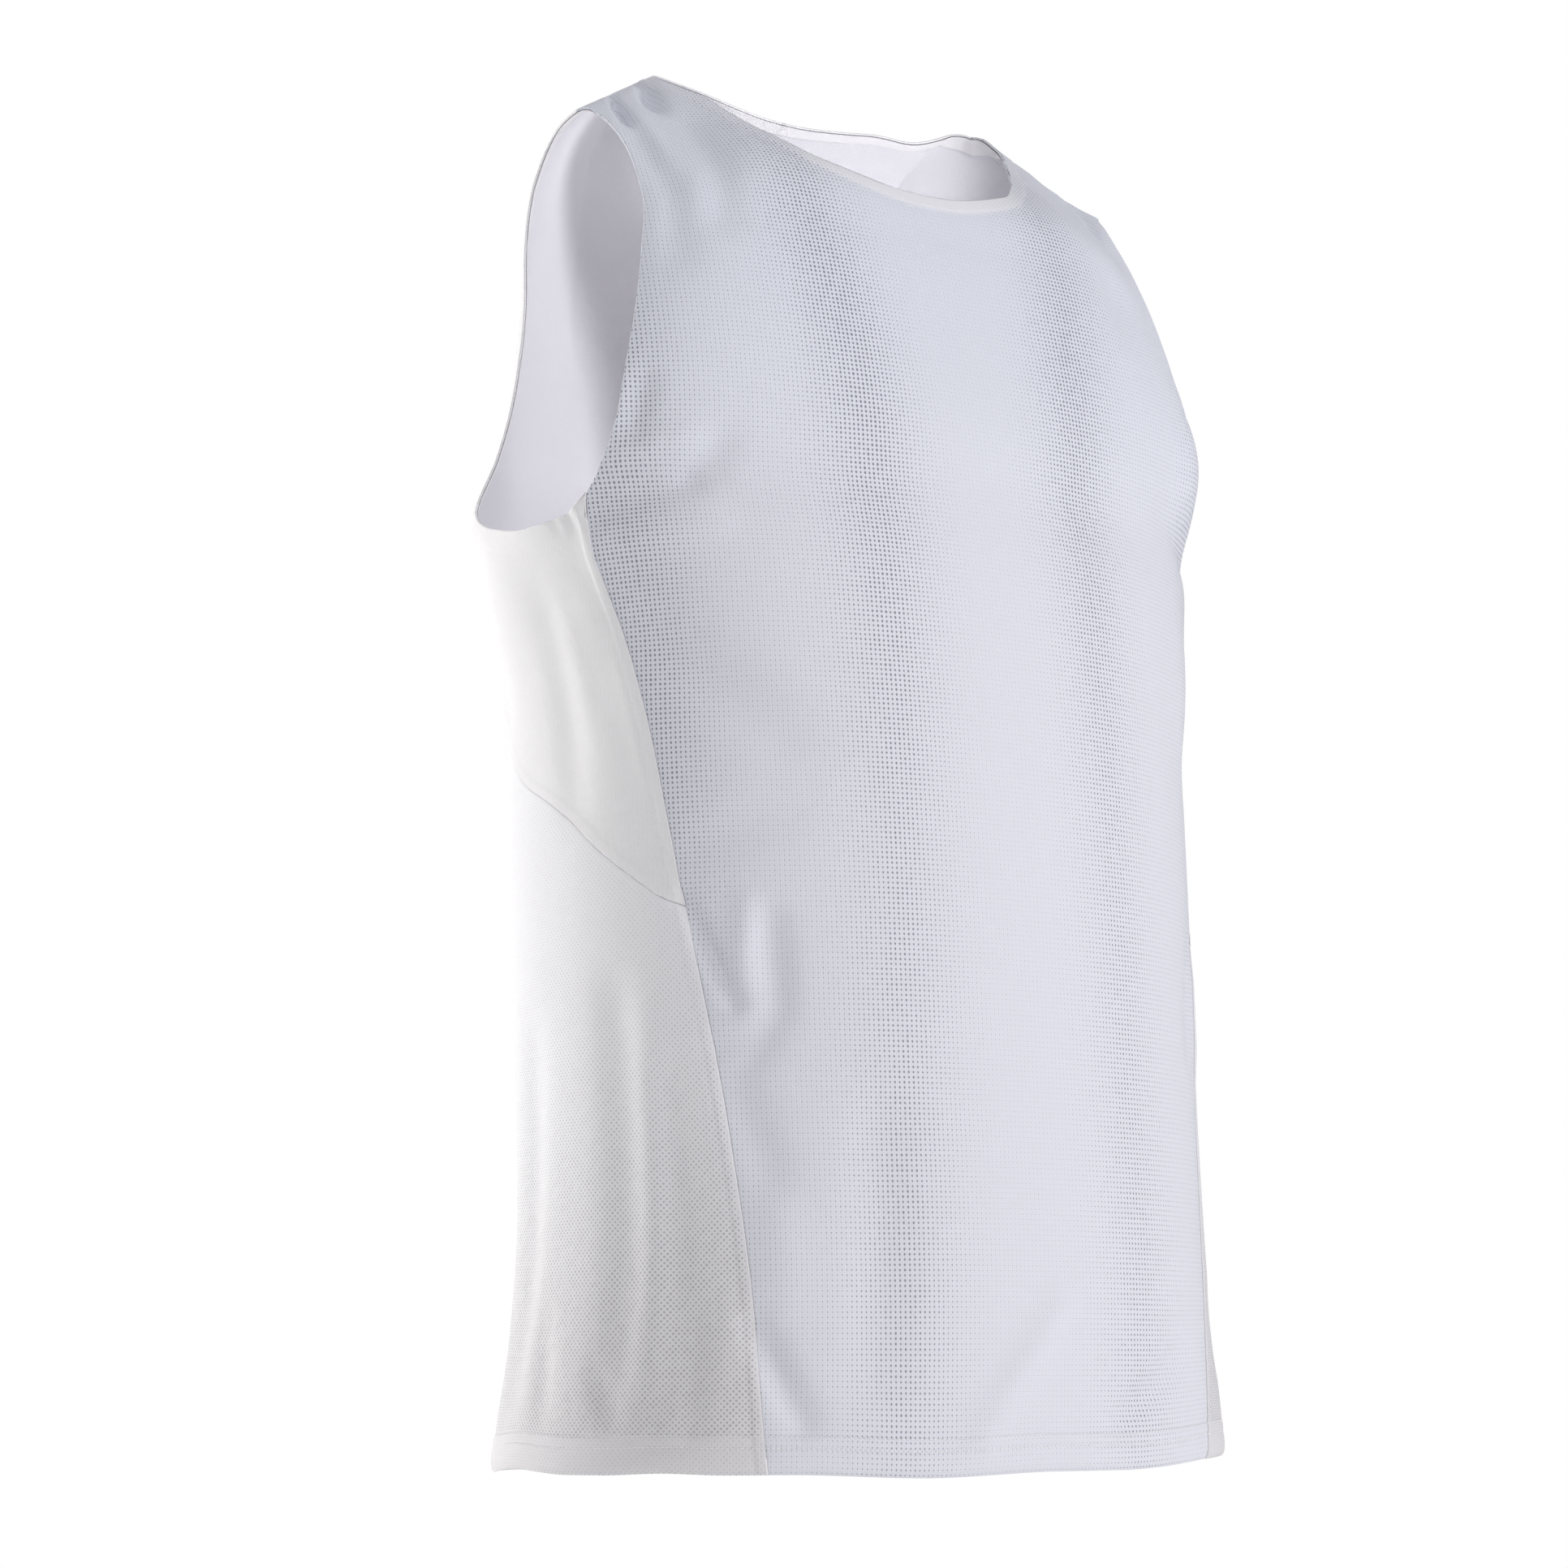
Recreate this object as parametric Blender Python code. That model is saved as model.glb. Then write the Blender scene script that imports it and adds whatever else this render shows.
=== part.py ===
"""Sleeveless running singlet, filled out as worn, with nothing inside it.

Metres, +Z up, front towards -Y, the wearer's left towards +X. The origin is between the two
shoulders at the neck, where the garment hangs from its wearer, so the hem is 0.708 m below it.

Every point of the cloth has two co-ordinates. The angle runs round the body in degrees: 0 at the
centre front, 90 at the wearer's left side, 180 at the centre back. The height runs from 0 at the
hem to 1 along the top of the shoulders, and past 1 it goes over the shoulder to the back.
"""

import math
from collections import namedtuple

import bpy
import numpy as np

# Cloth and trims
CLOTH = 0.0013  # wall of one layer of knit
HEM_CLOTH = 0.0022  # wall where the hem is folded up inside
TAPE = 0.0010  # bonded tape inside the neck and the armholes
TAPE_IN = 0.0003  # space between the wall and its tape
HEM_FOLD = (0.0, 0.0235, 0.0262)  # heights of the folded hem, 17 mm deep, and of its step

# Half of the gap at a seam: in degrees along a side seam, in height along the others
SIDE_GAP = 0.065
YOKE_GAP = 0.0003
SHOULDER_GAP = 0.0002

# Shoulder line: how far the outer tip lies below and in front of the neck point
TIP_DROP = 0.0437
TIP_FORWARD = 0.0337
NECK_HALF = 0.1008
TIP_HALF = 0.1715
SHOULDER_SEAM = 1.006  # the seam lies just behind the top of the shoulder
ALONG_LIMITS = (-0.08, 1.6)  # how far past the shoulder line's ends its slope goes on

# Sections of the body from hem to shoulder, one row each. The front's numbers turn into the
# back's over this much of the cosine of the angle, round each side
SIDE_BLEND = 0.34
Section = namedtuple("Section", (
    "height", "front_drop", "back_drop", "front_half_width", "back_half_width",
    "front_depth", "back_depth", "centre_y", "front_square", "back_square",
    "slope_share", "forward_share",
))
SECTIONS = (
    (0.000, 0.7080, 0.7080, 0.1922, 0.1922, 0.1358, 0.1358, -0.0352, 2.25, 2.25, 0.00, 0.00),
    (0.120, 0.6200, 0.6200, 0.1799, 0.1799, 0.1361, 0.1361, -0.0374, 2.25, 2.25, 0.00, 0.00),
    (0.260, 0.5200, 0.5200, 0.1770, 0.1770, 0.1363, 0.1363, -0.0332, 2.25, 2.25, 0.00, 0.00),
    (0.400, 0.4200, 0.4200, 0.1788, 0.1788, 0.1366, 0.1366, -0.0281, 2.25, 2.25, 0.00, 0.00),
    (0.525, 0.3300, 0.3300, 0.1815, 0.1815, 0.1330, 0.1340, -0.0236, 2.30, 2.30, 0.00, 0.00),
    (0.610, 0.2680, 0.2680, 0.1930, 0.1930, 0.1290, 0.1320, -0.0185, 2.30, 2.30, 0.00, 0.00),
    (0.650, 0.2380, 0.2400, 0.2045, 0.1962, 0.1252, 0.1295, -0.0165, 2.12, 2.40, 0.02, 0.00),
    (0.700, 0.2020, 0.2033, 0.2060, 0.1846, 0.1233, 0.1250, -0.0150, 2.30, 2.36, 0.08, 0.10),
    (0.770, 0.1500, 0.1548, 0.1915, 0.1727, 0.1153, 0.1195, -0.0120, 2.90, 2.45, 0.30, 0.18),
    (0.830, 0.1050, 0.1063, 0.1805, 0.1683, 0.1049, 0.1104, -0.0100, 3.03, 2.48, 0.55, 0.29),
    (0.880, 0.0680, 0.0619, 0.1739, 0.1713, 0.0896, 0.0973, -0.0100, 2.94, 2.60, 0.80, 0.52),
    (0.920, 0.0380, 0.0265, 0.1754, 0.1780, 0.0567, 0.0785, -0.0110, 2.75, 2.80, 0.95, 0.92),
    (0.960, 0.0120, 0.0053, 0.1765, 0.1790, 0.0249, 0.0464, -0.0130, 2.60, 2.70, 1.00, 1.00),
    (1.000, 0.0000, 0.0000, 0.1715, 0.1715, 0.0000, 0.0000, -0.0150, 2.40, 2.40, 1.00, 1.00),
)

# Seams and edges on the wearer's left half, each a row of (angle, height)
SIDE_SEAM = (
    (40.4, 0.000), (43.2, 0.060), (45.8, 0.120), (48.2, 0.180), (50.4, 0.240), (53.0, 0.300),
    (56.0, 0.362), (58.3, 0.420), (61.0, 0.480), (63.7, 0.530), (65.8, 0.570), (66.6, 0.600),
    (65.8, 0.623), (64.4, 0.640),
)
FRONT_ARMHOLE = (
    (64.4, 0.640), (62.0, 0.649), (59.2, 0.664), (56.9, 0.686), (54.9, 0.722), (53.5, 0.778),
    (53.3, 0.814), (53.6, 0.851), (53.9, 0.892), (53.8, 0.914), (53.9, 0.932), (54.8, 0.948),
    (57.4, 0.966), (62.5, 0.983), (68.0, 0.995), (70.0, SHOULDER_SEAM),
)
BACK_ARMHOLE = (
    (109.6, 0.656), (111.8, 0.668), (112.6, 0.682), (112.4, 0.700), (111.1, 0.739),
    (109.8, 0.783), (112.6, 0.848), (117.6, 0.880), (122.2, 0.905), (124.4, 0.933),
    (122.4, 0.957), (117.0, 0.974), (112.5, 0.986), (110.0, 2 - SHOULDER_SEAM),
)
CORNER = 6  # the row of the side seam where the yoke seam meets it
UNDERARM = (
    (64.4, 0.640), (69.2, 0.629), (74.0, 0.625), (79.2, 0.6235), (84.4, 0.6235), (90.0, 0.6265),
    (95.2, 0.6315), (100.6, 0.6375), (105.4, 0.6455), (109.6, 0.656),
)
FRONT_NECKLINE = (
    (0.0, 0.869), (6.6, 0.871), (11.3, 0.8755), (15.5, 0.881), (19.7, 0.888), (22.3, 0.897),
    (25.0, 0.907), (27.9, 0.922), (30.6, 0.940), (33.6, 0.962), (35.9, 0.982), (35.9, 1.000),
    (35.2, SHOULDER_SEAM),
)
NECK_CORNER = 6  # the row of the neckline that ends its low curve
BACK_NECKLINE = (
    (144.8, 2 - SHOULDER_SEAM), (149.5, 0.992), (154.0, 0.989), (160.0, 0.985), (168.0, 0.979),
    (176.0, 0.9746), (180.0, 0.974),
)
YOKE_SEAM = (
    (56.0, 0.362), (60.0, 0.368), (66.0, 0.383), (74.4, 0.405), (82.4, 0.427), (91.0, 0.444),
    (99.0, 0.457), (104.0, 0.469), (109.6, 0.488), (120.0, 0.520), (135.0, 0.555),
    (150.0, 0.578), (165.0, 0.590), (180.0, 0.594),
)
FRONT_GUIDE = ((16.0, 0.0), (22.0, 0.36), (26.0, 0.62), (24.6, 0.80), (25.0, 0.907))
ARM_GUIDE = ((112.0, 0.4955), (111.6, 0.57), (109.6, 0.656))

# Rows and columns of the wall's mesh, and the width of the taped edge
ROWS_LOWER_BACK = 15
ROWS_WING = 10
UNDER = ROWS_LOWER_BACK + ROWS_WING  # the row of the front's mesh that meets the underarm
ROWS_ARMHOLE = 8
ROWS_STRAP = 9
COLUMNS_STRAP = 8
COLUMNS_NECK = 12
COLUMNS_WING = 9
COLUMNS_BACK_NECK = 14
TAPED_EDGE = 0.010
TAPE_CORNER = 0.6  # share of a corner cell's diagonal that its tape takes up
SHORTER_BY = 0.92  # a cell is split along its other diagonal if that is shorter by this
STRAP_FOOT = 0.892  # the height of the front's armhole where its strap begins

# Largest folds: soft troughs (depth < 0) and ridges (depth > 0), each along a straight run
Fold = namedtuple("Fold", ("angle_from", "drop_from", "angle_to", "drop_to", "half_width", "depth"))
DEGREE = 0.0029  # cloth along one degree of the body
FOLDS = (
    (-62, 0.246, -46, 0.241, 0.008, -0.0036),
    (-46, 0.240, -39, 0.224, 0.008, -0.0026),
    (-51, 0.194, -54, 0.220, 0.008, -0.0030),
    (-59, 0.232, -45, 0.221, 0.009, 0.0022),
    (-63, 0.259, -41, 0.240, 0.006, -0.0016),
    (-66, 0.274, -44, 0.262, 0.012, 0.0022),
    (-64, 0.310, -38, 0.366, 0.022, -0.0038),
    (-55, 0.420, -38, 0.404, 0.014, -0.0016),
    (-56, 0.444, -48.2, 0.492, 0.006, -0.0044),
    (-41.6, 0.456, -41, 0.494, 0.009, -0.0040),
    (-41.4, 0.500, -46, 0.520, 0.009, -0.0022),
    (-45.4, 0.446, -46.6, 0.484, 0.008, 0.0020),
    (-52.5, 0.514, -47, 0.511, 0.006, -0.0016),
    (-49, 0.528, -43, 0.572, 0.012, -0.0024),
    (-112, 0.312, -112, 0.346, 0.022, -0.0030),
    (50, 0.298, 50, 0.344, 0.020, 0.0030),
    (-26, 0.550, -26, 0.662, 0.017, -0.0028),
    (-60, 0.530, -57, 0.668, 0.014, -0.0034),
    (-71, 0.490, -68, 0.668, 0.016, -0.0032),
    (-65, 0.500, -63, 0.660, 0.012, 0.0014),
    (-45, 0.640, -36, 0.684, 0.008, -0.0044),
    (5, 0.630, -9, 0.690, 0.010, 0.0026),
    (-51.2, 0.030, -49.8, 0.046, 0.0044, -0.0072),
    (-39.8, 0.014, -41, 0.032, 0.007, -0.0072),
    (-46.5, 0.042, -46, 0.075, 0.008, 0.0020),
    (-49, 0.060, -46, 0.126, 0.012, -0.0022),
    (-37.5, 0.045, -38.5, 0.104, 0.012, -0.0030),
    (38, 0.094, 36, 0.126, 0.013, -0.0026),
    (46, 0.030, 48, 0.072, 0.009, -0.0028),
    (66, 0.248, 42, 0.224, 0.014, -0.0036),
    (66, 0.300, 56, 0.350, 0.018, -0.0026),
    (51, 0.446, 46, 0.500, 0.010, -0.0032),
    (56, 0.520, 54, 0.650, 0.016, -0.0030),
    (72, 0.480, 70, 0.660, 0.017, -0.0036),
    (82, 0.300, 78, 0.400, 0.018, -0.0026),
    (-84, 0.300, -80, 0.390, 0.018, -0.0024),
    (118, 0.180, 150, 0.260, 0.024, -0.0040),
    (-120, 0.180, -148, 0.270, 0.024, -0.0038),
    (112, 0.262, 128, 0.350, 0.020, -0.0030),
    (-112, 0.270, -130, 0.340, 0.020, -0.0032),
    (140, 0.420, 128, 0.560, 0.024, -0.0040),
    (-138, 0.430, -130, 0.580, 0.026, -0.0042),
    (176, 0.380, 166, 0.640, 0.030, -0.0044),
    (-160, 0.400, -154, 0.660, 0.026, -0.0036),
    (104, 0.520, 108, 0.680, 0.020, -0.0034),
    (-100, 0.510, -104, 0.670, 0.020, -0.0036),
    (150, 0.060, 160, 0.150, 0.022, -0.0024),
    (-152, 0.060, -164, 0.160, 0.022, -0.0026),
    (50, 0.172, 50, 0.212, 0.019, 0.0052),
    (58, 0.470, 58, 0.610, 0.020, 0.0022),
    (62, 0.062, 52, 0.150, 0.022, 0.0032),
    (-68, 0.252, -67, 0.300, 0.006, 0.0008),
    (-67, 0.312, -62, 0.392, 0.006, 0.0008),
    (-75, 0.244, -74, 0.262, 0.0040, -0.0012),
    (-72, 0.238, -70, 0.262, 0.0040, -0.0017),
    (-69, 0.236, -67, 0.264, 0.0036, 0.0012),
    (75, 0.242, 73, 0.262, 0.0040, -0.0015),
    (70, 0.236, 69, 0.264, 0.0038, -0.0013),
    (52, 0.032, 48, 0.060, 0.0050, -0.0026),
    (43, 0.026, 42, 0.050, 0.0050, -0.0022),
    (-76, 0.296, -71, 0.345, 0.013, -0.0010),
    (-92, 0.640, -88, 0.680, 0.012, -0.0017),
    (-74, 0.662, -68, 0.684, 0.007, -0.0018),
    (-54, 0.636, -53, 0.688, 0.008, -0.0020),
    (-42, 0.588, -40, 0.630, 0.014, 0.0016),
    (34, 0.652, 16, 0.686, 0.009, -0.0044),
    (70, 0.650, 75, 0.692, 0.009, -0.0020),
    (101, 0.644, 96, 0.694, 0.008, -0.0022),
    (128, 0.655, 132, 0.694, 0.010, -0.0018),
    (166, 0.648, 160, 0.692, 0.010, -0.0022),
    (-118, 0.650, -124, 0.694, 0.009, -0.0020),
    (-150, 0.646, -146, 0.690, 0.009, -0.0021),
    (-179, 0.660, -173, 0.694, 0.008, -0.0016),
)
FOLD_ENDS = 1.6  # how far a fold fades out past its ends, in half widths
FOLD_FALL = 1.4  # how fast it falls away to its sides
FOLD_SWELL = (0.45, 0.55)  # its depth at the ends, and what the middle adds
SWELL_RUN = (0.12, 0.76)  # the part of an arch that the swell takes up

# Places where the cloth hangs higher or lower than the plain form, above all at its edges
Rise = namedtuple("Rise", ("x", "y", "z", "reach", "up"))
RISES = (
    (0.100, 0.010, 0.000, 0.034, 0.0056),
    (0.105, 0.003, 0.001, 0.018, 0.0027),
    (0.116, -0.006, -0.004, 0.030, 0.0019),
    (0.150, -0.030, -0.034, 0.034, -0.0024),
    (0.162, -0.045, -0.052, 0.030, 0.0009),
    (0.080, 0.015, 0.002, 0.032, -0.0038),
    (-0.104, -0.005, -0.002, 0.011, -0.0012),
    (-0.035, 0.028, 0.002, 0.075, 0.0016),
    (0.155, -0.120, -0.706, 0.110, 0.0055),
    (-0.190, -0.020, -0.706, 0.045, 0.0022),
    (-0.167, -0.111, -0.706, 0.030, 0.0009),
    (-0.055, -0.168, -0.708, 0.070, -0.0021),
    (0.190, 0.020, -0.706, 0.080, -0.0020),
    (0.060, 0.100, -0.708, 0.090, 0.0030),
    (-0.080, 0.095, -0.708, 0.080, -0.0018),
)

FRONT_GREY = (0.72, 0.75, 0.82)
BACK_WHITE = (0.88, 0.88, 0.90)
MESH_WHITE = (0.84, 0.85, 0.87)
TAPE_WHITE = (0.93, 0.93, 0.94)
ROUGH = 0.85


def smooth(rows, at):
    """The cubic curve through rows, whose first column is the key, at each value of at."""
    table = np.array(rows, float)
    keys, values = table[:, 0], table[:, 1:]
    slopes = np.gradient(values, keys, axis=0)
    at = np.asarray(at, float)
    i = np.clip(np.searchsorted(keys, at, side="right") - 1, 0, len(keys) - 2)
    span = keys[i + 1] - keys[i]
    t, span = ((at - keys[i]) / span)[..., None], span[..., None]
    return (
        (2 * t**3 - 3 * t**2 + 1) * values[i]
        + (t**3 - 2 * t**2 + t) * span * slopes[i]
        + (3 * t**2 - 2 * t**3) * values[i + 1]
        + (t**3 - t**2) * span * slopes[i + 1]
    )


def section_table():
    """SECTIONS and its mirror image past the shoulder, where the depths change sign."""
    rows = [Section(*row) for row in SECTIONS]
    past = [
        row._replace(height=2 - row.height, front_depth=-row.front_depth, back_depth=-row.back_depth)
        for row in rows[-2:-4:-1]
    ]
    return np.array(rows + past, float)


def soft_step(t):
    t = np.clip(t, 0, 1)
    return t * t * (3 - 2 * t)


def body(angle, height):
    """The smooth form, without folds."""
    over = height > 1
    u = np.radians(np.where(over, 180 - angle, angle))
    height = np.where(over, 2 - height, height)
    here = Section(height, *np.moveaxis(smooth(section_table(), height), -1, 0))
    s, c = np.sin(u), np.cos(u)
    back = soft_step(0.5 - c / SIDE_BLEND)
    half = here.front_half_width + (here.back_half_width - here.front_half_width) * back
    square = here.front_square + (here.back_square - here.front_square) * back
    drop = here.front_drop + (here.back_drop - here.front_drop) * back
    depth = np.where(c > 0, here.front_depth, here.back_depth)
    reach = (np.abs(s) ** square + np.abs(c) ** square) ** (-1 / square)
    x = half * reach * s
    along = np.clip((np.abs(x) - NECK_HALF) / (TIP_HALF - NECK_HALF), *ALONG_LIMITS)
    y = (
        here.centre_y * (1 - here.slope_share) - depth * reach * c
        - here.forward_share * TIP_FORWARD * along
    )
    z = -drop - here.slope_share * TIP_DROP * along
    return np.stack([x, y, z], -1)


def outward(form, angle, height):
    """The unit normal of a form, pointing away from the body."""
    da, dh = 0.05, 0.0005
    across = form(angle + da, height) - form(angle - da, height)
    up = form(angle, height + dh) - form(angle, height - dh)
    n = np.cross(across, up)
    return n / np.linalg.norm(n, axis=-1, keepdims=True)


def fold_depth(angle, drop):
    """How far the folds move the cloth outwards."""
    turned = (angle + 180) % 360 - 180
    total = np.zeros_like(turned)
    for fold in (Fold(*row) for row in FOLDS):
        run = (fold.angle_to - fold.angle_from) * DEGREE, fold.drop_to - fold.drop_from
        length = math.hypot(*run)
        right = ((turned - fold.angle_from + 180) % 360 - 180) * DEGREE
        down = drop - fold.drop_from
        t = (right * run[0] + down * run[1]) / length**2
        aside = (right * run[1] - down * run[0]) / length
        past = np.maximum(np.maximum(-t, t - 1), 0) * length
        faded = soft_step(1 - past / (FOLD_ENDS * fold.half_width))
        arch = np.sin(np.pi * np.clip(SWELL_RUN[0] + SWELL_RUN[1] * t, 0, 1))
        swell = FOLD_SWELL[0] + FOLD_SWELL[1] * arch
        total += fold.depth * faded * swell * np.exp(-FOLD_FALL * (aside / fold.half_width) ** 2)
    return total


def rise(points):
    """How far the places of uneven hang move the cloth up."""
    total = np.zeros(points.shape[:-1])
    for place in (Rise(*row) for row in RISES):
        away = np.linalg.norm(points - np.array([place.x, place.y, place.z]), axis=-1)
        total += place.up * soft_step(1 - away / place.reach)
    return total


def cloth(angle, height):
    """The outside of the cloth, folds and all."""
    angle, height = np.asarray(angle, float), np.asarray(height, float)
    points = body(angle, height)
    over = height > 1
    folded = points + outward(body, angle, height) * fold_depth(
        np.where(over, 180 - angle, angle), -points[..., 2]
    )[..., None]
    folded[..., 2] += rise(points)
    return folded


def inside(angle, height, depth):
    """A point of the cloth moved in through the wall."""
    angle, height = np.asarray(angle, float), np.asarray(height, float)
    depth = np.asarray(depth, float)
    return cloth(angle, height) - outward(cloth, angle, height) * depth[..., None]


def lengths(line):
    steps = np.linalg.norm(np.diff(body(line[:, 0], line[:, 1]), axis=0), axis=1)
    return np.concatenate([[0], np.cumsum(steps)])


def even(rows, steps, first=None, last=None):
    """steps + 1 places along the smooth curve through rows, evenly spaced but for an end step."""
    rows = np.array(rows, float)
    fine = smooth(np.column_stack([lengths(rows), rows]), np.linspace(0, lengths(rows)[-1], 400))
    fine[0], fine[-1] = rows[0], rows[-1]
    run = lengths(fine)
    ends = [0.0] if first is None else [0.0, first]
    tail = [run[-1]] if last is None else [run[-1] - last, run[-1]]
    between = np.linspace(ends[-1], tail[0], steps + 3 - len(ends) - len(tail))
    at = np.concatenate([ends[:-1], between, tail[1:]])
    line = np.column_stack([np.interp(at, run, fine[:, k]) for k in (0, 1)])
    line[0], line[-1] = rows[0], rows[-1]
    return line


def straight(a, b, shares):
    return np.array(a) + np.outer(shares, np.array(b) - np.array(a))


def side_by_side(line):
    """A line of the left half and its mirror image, from the right half to the left."""
    return np.concatenate([(line * np.array([-1.0, 1.0]))[::-1], line[1:]])


def around(line):
    """A line from the left half's side to the centre back, carried on to the other side."""
    return np.concatenate([line, other_side(line)[1:]])


def other_side(line):
    return line[::-1] * np.array([-1.0, 1.0]) + np.array([360.0, 0.0])


def patch(bottom, top, left, right):
    """A grid of places between four edges; left and right run from bottom to top."""
    def share(line):
        run = lengths(line)
        return run / run[-1]

    p = (share(bottom) + share(top))[None, :, None] / 2
    q = (share(left) + share(right))[:, None, None] / 2
    corners = (
        (1 - p) * (1 - q) * bottom[0] + p * (1 - q) * bottom[-1]
        + (1 - p) * q * top[0] + p * q * top[-1]
    )
    grid = (
        (1 - q) * bottom[None] + q * top[None]
        + (1 - p) * left[:, None] + p * right[:, None] - corners
    )
    grid[0], grid[-1], grid[:, 0], grid[:, -1] = bottom, top, left, right
    return grid


def flipped(grid):
    """The same patch on the other half of the body, columns still from left to right."""
    return (grid * np.array([-1.0, 1.0]))[:, ::-1]


def nudged(grid, rows, columns, angle=0.0, height=0.0):
    """A patch with one edge drawn back from a seam."""
    moved = grid.copy()
    moved[rows, columns] += np.array([angle, height])
    return moved


def seam_angle(height):
    return float(smooth([(h, a) for a, h in SIDE_SEAM], height)[0])


def hem_strip(first_row, pivot):
    """The folded hem under the first row of a patch."""
    rows = []
    for h in HEM_FOLD:
        scale = (seam_angle(h) - pivot) / (seam_angle(HEM_FOLD[-1]) - pivot)
        turned = pivot + (first_row[:, 0] - pivot) * scale
        rows.append(np.column_stack([turned, np.full(len(turned), h)]))
    return np.array(rows)


def wall(name, grids, colour, outer=0.0, inner=None):
    """A closed wall of cloth over one or more patches that share their edges."""
    index, places, quads = {}, [], []
    for grid in grids:
        ids = np.empty(grid.shape[:2], int)
        for i, j in np.ndindex(*ids.shape):
            angle, height = grid[i, j]
            if height > 1:
                angle, height = 180 - angle, 2 - height
            key = (round(angle % 360, 4), round(height, 6))
            if key not in index:
                index[key] = len(places)
                places.append(grid[i, j])
            ids[i, j] = index[key]
        quads += [
            (ids[i, j], ids[i, j + 1], ids[i + 1, j + 1], ids[i + 1, j])
            for i, j in np.ndindex(ids.shape[0] - 1, ids.shape[1] - 1)
        ]
    angle, height = np.array(places).T
    if inner is None:
        hem = soft_step((HEM_FOLD[2] - height) / (HEM_FOLD[2] - HEM_FOLD[1]))
        inner = CLOTH + (HEM_CLOTH - CLOTH) * hem
    outer, inner = (np.broadcast_to(d, angle.shape) for d in (outer, inner))
    points = np.concatenate([inside(angle, height, outer), inside(angle, height, inner)])
    n = len(places)
    smooth_form = body(angle, height)
    faces = []
    for a, b, c, d in quads:
        first, second = smooth_form[[a, b]] - smooth_form[[c, d]]
        if np.linalg.norm(second) < SHORTER_BY * np.linalg.norm(first):
            a, b, c, d = b, c, d, a
        faces += [(a, b, c), (a, c, d), (c + n, b + n, a + n), (d + n, c + n, a + n)]
    edges = {(a, b) for q in quads for a, b in zip(q, q[1:] + q[:1])}
    for a, b in sorted(edges):
        if (b, a) not in edges:
            faces += [(b, a, a + n), (b, a + n, b + n)]
    add(name, points, faces, colour)


def add(name, points, faces, colour):
    """A solid with its own material, its faces turned outwards."""
    p, q, r = (points[np.array(faces)[:, k]] for k in range(3))
    if np.einsum("ij,ij->", p, np.cross(q, r)) < 0:
        faces = [tuple(reversed(f)) for f in faces]
    mesh = bpy.data.meshes.new(name)
    mesh.from_pydata([tuple(map(float, v)) for v in points], [],
                     [tuple(int(k) for k in f) for f in faces])
    mesh.update()
    thing = bpy.data.objects.new(name, mesh)
    bpy.context.scene.collection.objects.link(thing)
    material = bpy.data.materials.new(name)
    material.use_nodes = True
    shader = material.node_tree.nodes["Principled BSDF"]
    shader.inputs["Base Color"].default_value = (*colour, 1)
    shader.inputs["Roughness"].default_value = ROUGH
    mesh.materials.append(material)


def side_seam_rows():
    """The side seam's places above the hem fold: below the yoke seam, and from it to the arm."""
    start = (seam_angle(HEM_FOLD[2]), HEM_FOLD[2])
    low = even([start] + [r for r in SIDE_SEAM[:CORNER + 1] if r[1] > start[1]], ROWS_LOWER_BACK)
    return low, even(SIDE_SEAM[CORNER:], ROWS_WING, last=TAPED_EDGE)


def strap_columns(wide):
    """Shares of a strap's width, with a taped edge on each side."""
    edge = TAPED_EDGE / wide
    return np.concatenate([[0], np.linspace(edge, 1 - edge, COLUMNS_STRAP - 1), [1]])


def shoulder_seam():
    """The shoulder seam from neck to arm, as the front panel's top edge."""
    ends = FRONT_NECKLINE[-1], FRONT_ARMHOLE[-1]
    return straight(*ends, strap_columns(lengths(np.array(ends))[-1]))


def front_patches():
    """Centre, left side and left strap of the front panel."""
    split = [k for k, r in enumerate(FRONT_ARMHOLE) if r[1] <= STRAP_FOOT][-1]
    low, mid = side_seam_rows()
    arm = even(FRONT_ARMHOLE[:split + 1], ROWS_ARMHOLE)
    edge = np.concatenate([low, mid[1:], arm[1:]])
    strap_edge = even(FRONT_ARMHOLE[split:], ROWS_STRAP)
    foot = float(smooth([(h, a) for a, h in FRONT_GUIDE], HEM_FOLD[2])[0]), HEM_FOLD[2]
    guide = even((foot,) + FRONT_GUIDE[1:], len(edge) - 1, last=TAPED_EDGE)
    neck_low = even(FRONT_NECKLINE[:NECK_CORNER + 1], COLUMNS_NECK // 2)
    neck_side = even(FRONT_NECKLINE[NECK_CORNER:], ROWS_STRAP)
    hem = straight((0.0, HEM_FOLD[2]), guide[0], np.linspace(0, 1, COLUMNS_NECK // 2 + 1))
    centre = patch(
        side_by_side(hem), side_by_side(neck_low), guide * np.array([-1.0, 1.0]), guide
    )
    columns = strap_columns(lengths(np.array([guide[-1], edge[-1]]))[-1])
    across = straight(guide[-1], edge[-1], columns)
    side = patch(straight(guide[0], edge[0], columns), across, guide, edge)
    side[-2, 1] = side[-1, 0] + TAPE_CORNER * (side[-2, 1] - side[-1, 0])
    strap = patch(across, shoulder_seam(), neck_side, strap_edge)
    return centre, side, strap


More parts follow.
